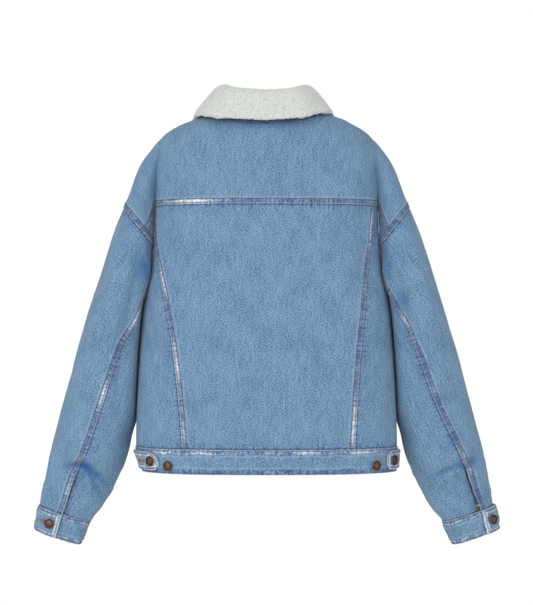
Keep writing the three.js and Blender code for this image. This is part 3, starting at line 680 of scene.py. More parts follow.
def backSeamLine(side):
    # the table's distances from the middle, laid on the body
    z = np.linspace(waistZ, yokeZ, 200)
    return torsoPoint(side, seamTurn(side, z), z)


def armholeLine(side):
    # the slanting plane's cut through the arm
    turn = np.linspace(meetFront, meetBack, 400)
    return armPoint(side, turn, slantDrop(turn))


def sleeveSeamLine(side):
    # from the end of the armhole seam to the cuff, swinging round the arm by its table
    along = np.linspace(0, 1, 240)
    drop = mix(float(edgeDrop(meetBack)), cuffSeamDrop, along)
    return leanOnBody(armPoint(side, meetBack + sleeveSwing(side, along), drop), along)


def waistSeamLine():
    # all round the body at the height of the waist seam
    turn = np.linspace(-90, 270, 720)
    z = np.full(turn.shape, float(waistZ))
    left = torsoPoint(1, np.where(turn <= 90, turn, 180 - turn), z)
    right = torsoPoint(-1, np.where(turn <= 90, turn, 180 - turn), z)
    return np.where((turn <= 90)[:, None], left, right)


seamLines = {
    "yoke": yokeSeamLine(),
    "waist": waistSeamLine(),
    **{("back", side): backSeamLine(side) for side in sides},
    **{("armhole", side): armholeLine(side) for side in sides},
    **{("sleeve", side): sleeveSeamLine(side) for side in sides},
}

# Soft folds as they show from behind: two ends in x and z, width and lift, in millimetres.
softFolds = [
    (-226, -160, -272, -345, 10, 3.4),
    (-208, -165, -250, -330, 9, -2.2),
    (226, -180, 262, -330, 12, 2.4),
    (300, -566, 262, -600, 7, -3.0),
    (302, -574, 284, -640, 6, 3.0),
    (300, -568, 268, -630, 5, -2.2),
    (308, -566, 338, -572, 6, -3.0),
    (312, -572, 346, -592, 6, 2.8),
    (306, -560, 330, -548, 7, 2.2),
    (298, -556, 262, -560, 8, 2.4),
    (292, -540, 330, -520, 10, 1.8),
    (-318, -566, -268, -590, 5, -3.0),
    (-316, -574, -276, -604, 6, 2.8),
    (-330, -562, -352, -556, 6, -3.0),
    (-332, -570, -362, -590, 6, 2.8),
    (-336, -580, -356, -630, 6, -2.4),
    (-300, -556, -258, -572, 7, 2.2),
    (-318, -548, -352, -536, 8, 2.2),
    (-296, -640, -262, -620, 7, 2.4),
    (60, -500, 20, -330, 26, 1.8),
    (-70, -510, -50, -300, 26, 1.6),
    (-120, -250, -40, -180, 24, 1.4),
    (110, -240, 40, -190, 24, 1.4),
    (330, -400, 300, -330, 16, 1.6),
    (-330, -420, -300, -360, 14, 1.6),
]


def foldLift(points, normals):
    # wide soft noise, plus a rounded ridge or hollow beside each fold line on the back; the second
    # result is how deep each place lies in a narrow hollow, which is painted darker: painted crease
    # shade, along with dye kept in the crease
    lift = 1.5 * noiseAt(points, (70, 90, 110), 3) + 0.8 * noiseAt(points, (30, 40, 60), 5)
    lift += 0.4 * noiseAt(points, (14, 14, 22), 8)
    sideways = smooth((np.abs(normals[:, 0]) - 0.7) / 0.25)
    sideways *= smooth((250 - np.abs(points[:, 0])) / 20)
    lift *= 1 - 0.85 * sideways * smooth((-190 - points[:, 2]) / 40)
    onCuffs = smooth((-530 - points[:, 2]) / 60) * smooth((np.abs(points[:, 0]) - 225) / 20)
    lift += 1.1 * onCuffs * noiseAt(points, (16, 14, 9), 13)
    behind = smooth(normals[:, 1] / 0.5)
    flat, hollow = points[:, [0, 2]], np.zeros(len(points))
    for x0, z0, x1, z1, width, height in softFolds:
        start, step = np.array([x0, z0]), np.array([x1 - x0, z1 - z0])
        f = np.clip((flat - start) @ step / (step @ step), 0, 1)
        away = np.linalg.norm(flat - start - f[:, None] * step, axis=1)
        fold = behind * height * np.exp(-((away / width) ** 2)) * np.sin(np.pi * (0.15 + 0.8 * f))
        lift += 1.4 * fold
        if width < 9:
            hollow -= fold
    return lift, np.clip(hollow / 3, -1, 1)


seamRelief = {"rise": 0.9, "bandMm": 10, "fadeMm": 7, "puckerMm": 9, "pucker": 0.35}


def seamLift(distance, along, over):
    # the folded band stands up beside the seam and ripples where its stitches draw it in
    band = 1 - smooth((distance - seamRelief["bandMm"]) / seamRelief["fadeMm"])
    wave = noiseOver(21, along / seamRelief["puckerMm"], distance / 14)
    ripple = seamRelief["pucker"] * wave * np.exp(-((distance / 14) ** 2))
    lip = 0.5 * np.exp(-distance / 0.9)
    return ripple + (seamRelief["rise"] * band - lip if over else -0.4 * np.exp(-distance / 4))


stitchPaths = {"brown": [], "tan": [], "amber": []}
panelWall = 3.2
hollowShadeAndDye = 0.6  # how dark a narrow hollow is painted: painted crease shade, along with dye kept in the crease
doubleStitch = (("tan", 2.2), ("brown", 8.4))  # thread and distance from the folded edge


def finishPanel(name, grid, node, seams, facing, stitches=(), tackRow=None):
    # welds a grid, turns it to face out, adds folds and seams, and notes where its stitches run
    ids, first, faces = weld(grid)
    points = grid.reshape(-1, 3)[first]
    normals = vertexNormals(points, faces)
    if (normals * (points - facing(points))).sum() < 0:
        faces, normals = faces[:, ::-1], -normals
    uv = np.stack([arcLengths(grid, 1), grid[..., 2]], -1)
    uv[..., 0] -= uv[:, uv.shape[1] // 2, 0][:, None]
    uv = uv.reshape(-1, 2)[first]
    lift, hollow = foldLift(points, normals)
    nearest, along = np.full(len(points), 60.0), np.zeros(len(points))
    onOver = np.zeros(len(points))
    for key, over in seams:
        distance, way = nearestOnLine(points, seamLines[key])
        lift += seamLift(distance, way, over)
        closer = distance < nearest
        nearest, along = np.where(closer, distance, nearest), np.where(closer, way, along)
        onOver = np.where(closer, float(over), onOver)
    points = points + normals * lift[:, None]
    normals = vertexNormals(points, faces)
    marks = denimMarks(points)
    # painted crease shade: narrow fold hollows go darker through the dye mark
    marks[:, 1] += hollowShadeAndDye * np.clip(hollow, 0, 1)
    marks[:, 2] = onOver
    seam = np.stack([along, nearest], -1)
    piece = makePiece(name, points, faces, washedDenim, uv, seam, marks, node)
    thicken(piece, panelWall, liningPile)
    for key, edge in stitches:
        distance, _ = nearestOnLine(grid, seamLines[key])
        field = np.concatenate([points[ids], normals[ids], distance[..., None]], -1)
        for colour, offset in doubleStitch:
            stitchPaths[colour].append(offsetPath(field, edge, offset))
        if tackRow:
            row = field[tackRow]
            stitchPaths["amber"].append(row[row[:, 6] < doubleStitch[1][1] + 1.5, :6])
    return piece


def offsetPath(field, edge, offset):
    # follows the place at a given distance from an edge, by blending along each grid line
    lines = {
        "right": lambda f: f[:, ::-1],
        "left": lambda f: f,
        "bottom": lambda f: f.transpose(1, 0, 2),
        "top": lambda f: f[::-1].transpose(1, 0, 2),
    }[edge](field)
    d = lines[..., 6]
    k = np.argmax(d >= offset, axis=1)
    good = (k > 0) & (d[:, 0] < offset)
    row = np.arange(len(d))[good]
    k = k[good]
    f = (offset - d[row, k - 1]) / np.maximum(d[row, k] - d[row, k - 1], 1e-6)
    return mix(lines[row, k - 1], lines[row, k], f[:, None])[:, :6]


def blotches(points, spots):
    # soft round marks: each spot is x, z, its reach in x and z, and its strength
    total = np.zeros(len(points))
    for x, z, reachX, reachZ, strength in spots:
        away = ((points[:, 0] - x) / reachX) ** 2 + ((points[:, 2] - z) / reachZ) ** 2
        total += strength * np.exp(-away)
    return np.clip(total, 0, 1.5) * (points[:, 1] > -20)


wearSpots = [
    (118, -134, 34, 14, 1.6),
    (164, -256, 12, 26, 0.9),
    (148, -400, 14, 36, 1.0),
    (140, -505, 14, 20, 0.7),
    (-170, -180, 14, 26, 1.0),
    (-144, -500, 14, 34, 1.3),
    (216, -318, 14, 34, 1.0),
    (262, -455, 14, 28, 1.1),
    (-330, -575, 12, 26, 0.6),
    (326, -610, 12, 26, 0.6),
    (-222, -340, 14, 24, 0.7),
]
# Dark spots: x, z, reach in x and z, strength. The one at (0, -10) is painted shadow under the
# collar's lap and the one at (-180, -175) painted shade at the right crease; the others darken listed
# patches of the cloth.
dyeAndShadeSpots = [
    (199, -240, 12, 20, 0.9),
    (242, -372, 8, 8, 0.5),
    (255, -405, 8, 7, 0.4),
    (303, -566, 15, 8, 1.0),
    (290, -580, 20, 6, 0.4),
    (-197, -236, 9, 20, 0.65),
    (-220, -296, 11, 15, 0.7),
    (-258, -402, 9, 9, 0.7),
    (-280, -456, 9, 9, 0.7),
    (-308, -520, 9, 11, 0.7),
    (-326, -568, 14, 7, 0.9),
    (-350, -628, 10, 12, 0.6),
    (0, -10, 66, 6, 0.5),
    (-180, -175, 10, 40, 0.4),
]


def denimMarks(points):
    # red is how rubbed the seams are here, green how dark the listed spots are: dye, with painted
    # shadow under the collar's lap and painted shade at the right crease
    marks = np.zeros((len(points), 3))
    marks[:, 0] = blotches(points, wearSpots)
    marks[:, 1] = blotches(points, dyeAndShadeSpots)
    return marks


def torsoAxis(points):
    # the body's middle line, a little lower than each place so that shoulders face up
    axis = np.zeros_like(points)
    axis[:, 2] = points[:, 2] - 40
    return axis


def armAxis(points):
    # halfway between the outer and the inner point of the arm's ring
    drop = np.clip(-points[:, 2] - 5, 60, cuffEdgeDrop)
    side = np.sign(points[:, 0])
    ends = [armPoint(1, turn, drop) * np.stack([side, side**2, side**2], -1) for turn in (0, 180)]
    return (ends[0] + ends[1]) / 2


def net(side, left, right, bottom, top, u, v):
    # edges are (turn, height): the blend across plus the blend up, less the blend of the corners;
    # v says how far each row has gone from the shape of the bottom edge to that of the top one
    u, v = u[None, :, None], v[:, None, None]
    across = mix(left[:, None], right[:, None], u)
    upwards = mix(bottom[None], top[None], v)
    corners = mix(mix(bottom[0], bottom[-1], u), mix(top[0], top[-1], u), v)
    turn, z = np.moveaxis(across + upwards - corners, -1, 0)
    return torsoPoint(side, turn, z)


def capNet(side, crease, seam, u):
    # from the crease out to the armhole seam, at matching turns of the two
    start, end = creaseDrop(crease), np.maximum(slantDrop(seam) - seamGap, creaseDrop(crease))
    turn = mix(crease[:, None], seam[:, None], u)
    return armPoint(side, turn, mix(start[:, None], end[:, None], u))


def creaseEdge(turn):
    # the crease as turn and height on the body
    p = armPoint(1, turn, creaseDrop(turn))
    return np.stack([torsoTurn(p), p[..., 2]], -1)


def mirrored(halves):
    # the right half's columns turned round, then the left half's, sharing the middle one
    return np.concatenate([halves[1][:, ::-1], halves[0][:, 1:]], 1)


def topEdge(centreTurn, spread, u):
    # along the neck to the shoulder point, then out along the shoulder
    shoulder = -float(creaseDrop(0.0))
    turn = centreTurn * np.clip(1 - u / 0.5, 0, 1) ** spread
    z = np.where(u < 0.5, neckZ(turn), mix(float(neckZ(0.0)), shoulder, (u - 0.5) / 0.5))
    return np.stack([turn, z], -1)


panelCounts = {"side": 84, "low": 32, "cap": 28, "yoke": 74, "frontCap": 60, "across": 78}
capColumns = np.linspace(0, 1, 19)
neckBend = 7  # the power that keeps the front's rows clear of the crease until they near the neck


def backYoke():
    # each half is a net on the body joined at the crease to its cap on the arm
    u = np.linspace(0, 1, panelCounts["across"] + 1)
    v = crowd(panelCounts["yoke"], -0.55)
    halves = []
    for side in sides:
        crease, seam = mix(yokeIn, 0, v), mix(yokeOut, 0, v)
        right = creaseEdge(crease)
        level = np.full(u.shape, yokeZ + seamGap)
        x = u * float(armPoint(1, yokeIn, -yokeZ)[0])
        bottom = np.stack([turnAtX(x, level), level], -1)
        bottom[-1] = right[0]
        top = topEdge(90, 1.0, u)
        z = mix(yokeZ + seamGap, float(neckZ(90.0)), v)
        left = np.stack([np.full(v.shape, 90.0), z], -1)
        torso = net(side, left, right, bottom, top, u, v)
        halves.append(np.concatenate([torso[:, :-1], capNet(side, crease, seam, capColumns)], 1))
    return mirrored(halves)


def backPanel():
    # level rows between the two long seams
    v = np.linspace(0, 1, 161)
    z = mix(waistZ + seamGap, yokeZ - seamGap, v)[:, None]
    u = crowd(70)
    halves = []
    for side in sides:
        end = seamTurn(side, z)
        x = tableAt(backSeams, z)[..., 0 if side > 0 else 1] * u
        halves.append(torsoPoint(side, np.where(u < 1, turnAtX(x, z), end), z))
    return mirrored(halves)


def sideEdge(way):
    # up the side seam to the underarm
    f = np.linspace(0, 1, panelCounts["side"] + 1)[:, None]
    underarm = creaseEdge(np.array(180.0))
    return mix(np.array([way * 0.1, waistZ + seamGap]), underarm, f)


def withCap(torso, cap):
    # below the cap the last column repeats, so that the cap's columns can follow it
    lower = np.repeat(torso[: -len(cap), -1:], cap.shape[1], 1)
    return np.concatenate([torso[:, :-1], np.concatenate([lower, cap])], 1)


def sideBack(side):
    # from the long seam to the side seam, the crease and the armhole seam
    low = np.linspace(180, meetBack, panelCounts["low"] + 1)
    crease = np.linspace(meetBack, yokeIn, panelCounts["cap"] + 1)
    seam = np.linspace(meetBack, yokeOut, panelCounts["cap"] + 1)
    right = np.concatenate([sideEdge(1)[:-1], creaseEdge(low)[:-1], creaseEdge(crease)])
    v = np.linspace(0, 1, len(right))
    z = mix(waistZ + seamGap, yokeZ - seamGap, v)
    left = np.stack([seamTurn(side, z), z], -1)
    u = np.linspace(0, 1, 41)
    ends = [mix(left[i], right[i], u[:, None]) for i in (0, -1)]
    torso = net(side, left, right, ends[0], ends[1], u, v)
    return withCap(torso, capNet(side, crease, seam, capColumns))


def evenTurns(start, end, count):
    # turns at even distances from each other along the crease
    fine = np.linspace(start, end, 800)
    p = armPoint(1, fine, creaseDrop(fine))
    length = pathLengths(p)
    return np.interp(np.linspace(0, length[-1], count + 1), length, fine)


def frontPanel(side):
    # rows as far up as their outer edge is long; late in their rise they bend to the neck's shape
    low = evenTurns(-180, meetFront, panelCounts["low"])
    cap = evenTurns(meetFront, 0, panelCounts["frontCap"])
    right = np.concatenate([sideEdge(-1)[:-1], creaseEdge(low)[:-1], creaseEdge(cap)])
    length = pathLengths(torsoPoint(1, right[:, 0], right[:, 1]))
    v, u = length / length[-1], np.linspace(0, 1, 41)
    z = mix(waistZ + seamGap, float(neckZ(-90.0)), v)
    left = np.stack([np.full(v.shape, -90.0), z], -1)
    ends = mix(left[0], right[0], u[:, None])
    torso = net(side, left, right, ends, topEdge(-90, 0.6, u), u, v**neckBend)
    return withCap(torso, capNet(side, cap, cap, capColumns))


slit = {"from": 0.8, "run": 0.08, "depth": 6, "width": 24}
slitRow = 151  # the row of the sleeve's grid at the top of its slit


finishPanel(
    "yoke",
    backYoke(),
    "back_yoke",
    [("yoke", True), (("armhole", 1), True), (("armhole", -1), True)],
    torsoAxis,
    [("yoke", "bottom"), (("armhole", 1), "right"), (("armhole", -1), "left")],
)
finishPanel(
    "backPanel",
    backPanel(),
    "back_panel",
    [("yoke", False), (("back", 1), True), (("back", -1), True), ("waist", False)],
    torsoAxis,
    [(("back", 1), "right"), (("back", -1), "left")],
)
for side in sides:
    finishPanel(
        "sideBack_" + nameOf[side],
        sideBack(side),
        "side_back_" + nameOf[side],
        [("yoke", False), (("back", side), False), (("armhole", side), True), ("waist", False)],
        torsoAxis,
        [(("armhole", side), "right")],
    )
    finishPanel(
        "frontPanel_" + nameOf[side],
        frontPanel(side),
        "front_" + nameOf[side],
        [(("armhole", side), True), ("waist", False)],
        torsoAxis,
        [(("armhole", side), "right")],
    )
    top = mix(-180, meetBack, crowd(118, 0.5))
    finishPanel(
        "sleeveTop_" + nameOf[side],
        sleevePanel(side, top, True, 0),
        "sleeve_top_" + nameOf[side],
        [(("sleeve", side), True), (("armhole", side), False)],
        armAxis,
        [(("sleeve", side), "right")],
        tackRow=slitRow,
    )
    under = mix(meetBack, 180, np.linspace(0, 1, 37))
    finishPanel(
        "sleeveUnder_" + nameOf[side],
        sleevePanel(side, under, False, 1),
        "sleeve_under_" + nameOf[side],
        [(("sleeve", side), False)],
        armAxis,
    )
print("panels done")


# Bands: the waistband, the cuffs, the placket and the tabs lie on or carry on the surfaces above.
def raised(surface, a, b, lift, axisOf):
    # a place off the surface along its normal, from differences half a step either way
    p = surface(a, b)
    n = np.cross(surface(a + 0.5, b) - surface(a - 0.5, b), surface(a, b + 0.5) - surface(a, b - 0.5))
    n = n / np.maximum(np.linalg.norm(n, axis=-1), 1e-9)[..., None]
    flat = p.reshape(-1, 3)
    out = np.sign((n.reshape(-1, 3) * (flat - axisOf(flat))).sum(-1)).reshape(n.shape[:-1])
    return p + n * (out * lift)[..., None]


def tucked(p):
    # draws the left end of the waistband in towards the middle, most at the hem
    moved = p.copy()
    low, out = (waistZ - p[..., 2]) / (waistZ - hemZ), (p[..., 0] - 110) / 90
    moved[..., 0] -= 9 * smooth(low) * smooth(out)
    return moved


def wholeTurn(turn, z):
    # the same as torsoPoint with turn running all the way round from the front through the left
    side = np.where(np.abs(turn) <= 90, 1.0, -1.0)
    own = np.where(np.abs(turn) <= 90, turn, np.sign(turn) * 180 - turn)
    p = torsoPoint(1, own, z)
    return tucked(p * np.stack([side, np.ones_like(side), np.ones_like(side)], -1))


bands = {
    "waistRound": 1010,
    "waistLap": 34,
    "waistTall": 41,
    "cuffRound": 250,
    "cuffLap": 26,
    "cuffTall": 40,
    "lapRun": 45,
    "lapRise": 4.8,
    "wall": 3.4,
}


def lapRise(run, length, lap):
    # the lapping end steps out by the cloth's thickness over the run before the lap
    return smooth((run - (length - lap - bands["lapRun"])) / bands["lapRun"]) * bands["lapRise"]


def waistbandGrid():
    # one turn and a lap round the hem, starting under the placket
    length = bands["waistRound"] + bands["waistLap"]
    run = np.linspace(0, length, 481)[None]
    v = np.linspace(0, 1, 21)[:, None]
    whole = -90 - 360 * (run - bands["waistLap"] / 2) / bands["waistRound"]
    turn = (whole + 900) % 360 - 180 + 0 * v
    z = mix(hemZ, waistZ - seamGap, v) + 0 * turn
    tall = bands["waistTall"]
    lift = lapRise(run, length, bands["waistLap"]) + bandLift(turn * 3.2, (z - hemZ), tall)
    return raised(wholeTurn, turn, z, lift, torsoAxis), run + 0 * v, v * tall + 0 * run


def bandLift(way, up, tall):
    # a doubled band is fuller in the middle and drawn in at both sewn edges, with slanting ripples
    edge = np.minimum(up, tall - up)
    crown = 0.9 * smooth(edge / 9)
    slant = 2.2 * noiseOver(31, (way + 0.8 * up) / 15, up / 26) * smooth(edge / 7)
    creases = 1.1 * noiseOver(37, (way - 0.9 * up) / 8, up / 30) * smooth(edge / 9)
    gathers = 0.8 * noiseOver(33, way / 6.5, up / 60) * np.exp(-(tall - up) / 9)
    return crown + slant + creases + gathers


def finishBand(name, grid, node, along, up, size, axisOf, rows, column=None, hole=None):
    # size is the band's run, height, wall and how rubbed it is; distances are to its nearest edge
    ids, first, faces = weld(grid)
    points = grid.reshape(-1, 3)[first]
    normals = vertexNormals(points, faces)
    if (normals * (points - axisOf(points))).sum() < 0:
        faces, normals = faces[:, ::-1], -normals
    uv = np.stack([along, up], -1).reshape(-1, 2)[first]
    edge = np.minimum(np.minimum(uv[:, 1], size["tall"] - uv[:, 1]), size["run"] - uv[:, 0])
    marks = np.ones((len(points), 3))
    marks[:, 0] = size["rubbed"](points, uv)
    marks[:, 1] = 0.4 * np.exp(-(((uv[:, 1] - size["tall"] + 1) / 2.0) ** 2))
    edge = edge + 1.8 * noiseOver(53, uv[:, 0] / 10, uv[:, 1] / 40) * smooth(edge / 4)
    seam = np.stack([uv[:, 0], edge], -1)
    piece = makePiece(name, points, faces, washedDenim, uv, seam, marks, node)
    thicken(piece, size["wall"], liningPile if size["wall"] > 3 else washedDenim)
    field = np.concatenate([points[ids], normals[ids]], -1)
    heights, runs = up[:, 0], along[0]

    def line(height, low, high):
        # the grid row at a height, blended from the two beside it, between two distances
        k = np.interp(height, heights, np.arange(len(heights)))
        base = int(min(k, len(heights) - 2))
        return mix(field[base], field[base + 1], k - base)[(runs >= low) & (runs <= high)]

    for colour, height in rows:
        stitchPaths[colour].append(line(height, 0, column or size["run"]))
    if column:
        inside = (heights > rows[0][1]) & (heights < rows[-1][1])
        stitchPaths["brown"].append(field[inside, int(np.argmin(np.abs(runs - column)))])
    if hole:
        middle = size["tall"] / 2
        for height in (middle - 1.5, middle + 1.5):
            stitchPaths["amber"].append(line(height, *hole))
        bar = np.abs(heights - middle) < 2.6
        stitchPaths["amber"].append(field[bar, int(np.argmin(np.abs(runs - hole[0])))])
    return piece


def waistRub(points, uv):
    # rubbed white in patches under the top seam, lightly elsewhere
    patch = np.zeros(len(points))
    for middle, width in ((100, 24), (-64, 26), (165, 12), (-150, 20)):
        patch += np.exp(-(((points[:, 0] - middle) / width) ** 2))
    return (0.15 + 0.75 * patch * (points[:, 1] > 0)) * smooth((uv[:, 1] - 18) / 8)


grid, along, up = waistbandGrid()
waistRun = bands["waistRound"] + bands["waistLap"]
waistSize = {"run": waistRun, "tall": bands["waistTall"], "wall": bands["wall"], "rubbed": waistRub}
finishBand(
    "waistbandCloth",
    grid,
    "waistband",
    along,
    up,
    waistSize,
    torsoAxis,
    (("brown", 1.8), ("tan", 39.0)),
    column=waistRun - 3,
)
for side in sides:
    length, tall = bands["cuffRound"] + bands["cuffLap"], bands["cuffTall"]
    run = np.linspace(0, length, 185)[None]
    v = np.linspace(0, 1, 21)[:, None]
    seamAt = meetBack + float(sleeveSwing(side, 1.0))
    turn = seamAt + (run - bands["cuffLap"]) / bands["cuffRound"] * 360 + 0 * v
    drop = mix(cuffEdgeDrop, cuffSeamDrop + seamGap, v) + 0 * run
    lift = lapRise(run, length, bands["cuffLap"]) + bandLift(run + 300 * side, v * tall, tall)
    grid = raised(lambda t, d: armPoint(side, t, d), turn, drop, lift, armAxis)
    rubbed = lambda points, uv: 0.35 + 0.8 * np.exp(-(((uv[:, 0] - length) / 6) ** 2))
    finishBand(
        "cuffCloth_" + nameOf[side],
        grid,
        "cuff_" + nameOf[side],
        run + 0 * v,
        v * tall + 0 * run,
        {"run": length, "tall": tall, "wall": bands["wall"], "rubbed": rubbed},
        armAxis,
        (("brown", 2.4), ("brown", 37.6)),
        column=length - 3.2,
        hole=(length - 28, length - 17),
    )


def torsoAtX(x, z, lift, way):
    # a place off the front or the back by its distance from the middle
    turn = way * turnAtX(np.abs(x), z)
    side = np.where(x < 0, -1.0, 1.0)
    p = raised(lambda t, h: torsoPoint(1, t, h), turn, z, lift, torsoAxis)
    return tucked(p * np.stack([side, np.ones_like(side), np.ones_like(side)], -1))


placket = {"half": 19, "lift": 2.6, "wall": 2.0}
x = np.linspace(-placket["half"], placket["half"], 20)[None]
z = np.linspace(waistZ + 0.5, float(neckZ(-90.0)) - 6, 190)[:, None]
lift = placket["lift"] + 0.25 * noiseOver(61, x / 9, z / 11)
grid = torsoAtX(x + 0 * z, z + 0 * x, lift, -1)
noRub = lambda points, uv: np.full(len(points), 0.3)
finishBand(
    "placketCloth",
    grid.transpose(1, 0, 2),
    "front_placket",
    (z + 0 * x).T - waistZ,
    (x + 0 * z).T + placket["half"],
    {"run": 600, "tall": 2 * placket["half"], "wall": placket["wall"], "rubbed": noRub},
    torsoAxis,
    (("brown", 2.4), ("brown", 35.6)),
)

tab = {"length": 70, "height": 30, "clip": 9, "lift": 4.6, "wall": 2.2}
allRub = lambda points, uv: 1 + 0 * uv[:, 0]
tabTips, tabButtons, spareButtons = {1: 178, -1: 194}, {1: 190, -1: 204}, {1: 163, -1: 177}
bandMiddle = (hemZ + waistZ) / 2
for side in sides:
    f = np.linspace(0, 1, 71)[None]
    v = np.linspace(-1, 1, 25)[:, None]
    clip = tab["clip"] * np.clip(1 - (1 - f) * tab["length"] / tab["clip"], 0, 1)
    z = bandMiddle + v * (tab["height"] / 2 - clip)
    turn = mix(2, float(turnAtX(np.array(float(tabTips[side])), np.array(bandMiddle))), f) + 0 * v
    ripple = 0.5 * noiseOver(43, f * 8 + side, v * 2) + 0.5 * noiseOver(47, f * 5, v + side)
    surface = lambda t, h: tucked(torsoPoint(side, t, h))
    grid = raised(surface, turn, z, tab["lift"] + ripple, torsoAxis)
    finishBand(
        "tabCloth_" + nameOf[side],
        grid,
        "waist_tab_" + nameOf[side],
        f * tab["length"] + 0 * v,
        (v + 1) * tab["height"] / 2 + 0 * f,
        {"run": tab["length"], "tall": tab["height"], "wall": tab["wall"], "rubbed": allRub},
        torsoAxis,
        (("brown", 3.2), ("brown", 26.8)),
        column=66.6,
        hole=(34, 47),
    )
print("bands done")

# Collar lines by way round the neck: fold x, y, z, edge x, y, z, and how the arch is shared.
collarLines = [
    (0, 0, 75, 39, 0, 86, 0, 0.5),
    (0.15, 44, 66, 43, 60, 80, 3.5, 0.5),
    (0.25, 60, 51, 48, 86, 63, 10, 0.5),
    (0.35, 68, 30, 52, 102, 38, 12.5, 0.5),
    (0.5, 71, 0, 53, 109, 2, 12, 0.5),
    (0.62, 71, -22, 48, 113, -30, 3, 0.45),
    (0.75, 67, -43, 33, 112, -66, -24, 0.4),
    (0.88, 47, -72, -6, 93, -99, -75, 0.3),
    (0.94, 27, -89, -34, 76, -113, -102, 0.2),
    (1, 8, -102, -56, 55, -126, -124, 0.1),
]


def collarSheet(way, lean):
    # a rounded arch over the neck seam and the edge of the fall, through the fold line
    side, w = np.sign(way)[..., None], np.abs(way)
    row = tableAt(collarLines, w)
    turn = 90 - 180 * w
    start = torsoPoint(1, turn, neckZ(turn))
    start[..., 2] += 1.5
    fold, edge = row[..., 0:3], row[..., 3:6]
    foot = mix(start, edge, row[..., 6:7])
    a = np.radians(lean)
    r = reach(a, 3)[..., None]
    end = np.where((lean < 90)[..., None], start, edge)
    p = foot + (end - foot) * r * np.abs(np.cos(a))[..., None]
    p = p + (fold - foot) * r * np.sin(a)[..., None]
    mirror = np.where(side < 0, -1.0, 1.0)
    return p * np.concatenate([mirror, np.ones_like(mirror), np.ones_like(mirror)], -1)


def gridNormals(grid):
    # cross product of the two grid directions, by central differences, turned to face up
    n = np.cross(np.gradient(grid, axis=0), np.gradient(grid, axis=1))
    n = n / np.maximum(np.linalg.norm(n, axis=-1), 1e-9)[..., None]
    return n if n[..., 2].sum() > 0 else -n


collar = {"thick": 7, "ways": 640, "leans": 90, "end": 0.985, "curl": 1.3, "shift": 5}


def collarPile():
    # the sheet's outer face, a rounded edge, its inner face and a second edge make a closed loop
    way = np.linspace(-collar["end"], collar["end"], collar["ways"])[:, None]
    lean = np.linspace(0, 180, collar["leans"])[None]
    sheet = collarSheet(way + 0 * lean, lean + 0 * way)
    n = gridNormals(sheet)
    t = collar["thick"]
    fromEnd = (collar["end"] - np.abs(way)) / 0.012
    plump = np.sqrt(np.clip(1 - (1 - np.clip(fromEnd, 0, 1)) ** 2, 0.02, 1))[..., None]
    outer, inner = sheet + n * t * plump, sheet + n * 0.3
    middle, half = (outer + inner) / 2, (outer - inner) / 2
    turn = np.linspace(0, np.pi, 9)[1:-1]

    def lip(i, step):
        # half a circle from the outer face to the inner one, bulging away from the sheet
        away = sheet[:, i] - sheet[:, i + step]
        away = away / np.linalg.norm(away, axis=-1)[:, None]
        size = np.linalg.norm(half[:, i], axis=-1)[:, None, None]
        ring = half[:, i, None] * np.cos(turn)[:, None]
        return middle[:, i, None] + ring + away[:, None] * size * np.sin(turn)[:, None]

    first = lip(0, 1)[:, ::-1]
    first[..., 2] = np.maximum(first[..., 2], sheet[:, :1, 2] + 0.4)
    back = inner[:, ::-2]
    loop = np.concatenate([outer, lip(-1, -1), back, first, outer[:, :1]], 1)
    share = np.concatenate([lean[0], np.full(7, 180.0), lean[0, ::-2], np.zeros(8)]) / 180
    fall = smooth((share - 0.2) / 0.5) + 0 * way
    hem = smooth((share - 0.9) / 0.1) + 0 * way
    return loop, fall.ravel(), hem.ravel()


loop, fall, hem = collarPile()
ids, first, faces = weld(loop)
points = loop.reshape(-1, 3)[first]
ends = []
for row, flip in ((0, 1), (-1, -1)):
    rim = ids[row][:-1]
    fan = np.stack([np.full(len(rim), rim[0]), rim, np.roll(rim, -1)], -1)[1:-1]
    ends.append(fan[:, ::flip])
faces = np.concatenate([faces, *ends])
normals = vertexNormals(points, faces)
volume = (points[faces[:, 0]] * np.cross(points[faces[:, 1]], points[faces[:, 2]])).sum()
if volume < 0:
    faces, normals = faces[:, ::-1], -normals
warped = points + 1.6 * np.stack([noiseAt(points, 6, s) for s in (71, 72, 73)], -1)
lump = lumpsAt(warped, 4.2, 75)
small = lumpsAt(warped, 2.2, 79)
lift = collar["curl"] * (0.75 - lump**1.3) + 0.7 * (0.6 - small) + 1.1 * noiseAt(points, 24, 83)
points = points + normals * lift[:, None]
points[:, 2] -= 1.6 * np.abs(noiseAt(points, (3.4, 9, 9), 87)) * hem[first]
points[:, 0] += collar["shift"] * fall[first]
points[:, 2] -= 3.5 * fall[first] * smooth((points[:, 0] - 60) / 40)
points[:, 2] += 1.5 * fall[first] * smooth((-60 - points[:, 0]) / 40)
marks = np.zeros((len(points), 3))
# blue marks the dimples between curls, which the pile's material paints in grey shade
marks[:, 2] = np.clip((lump - 0.5) * 0.9, 0, 1)
piece = makePiece("collarPile", points, faces, curlyPile, marks=marks, node="collar_top")

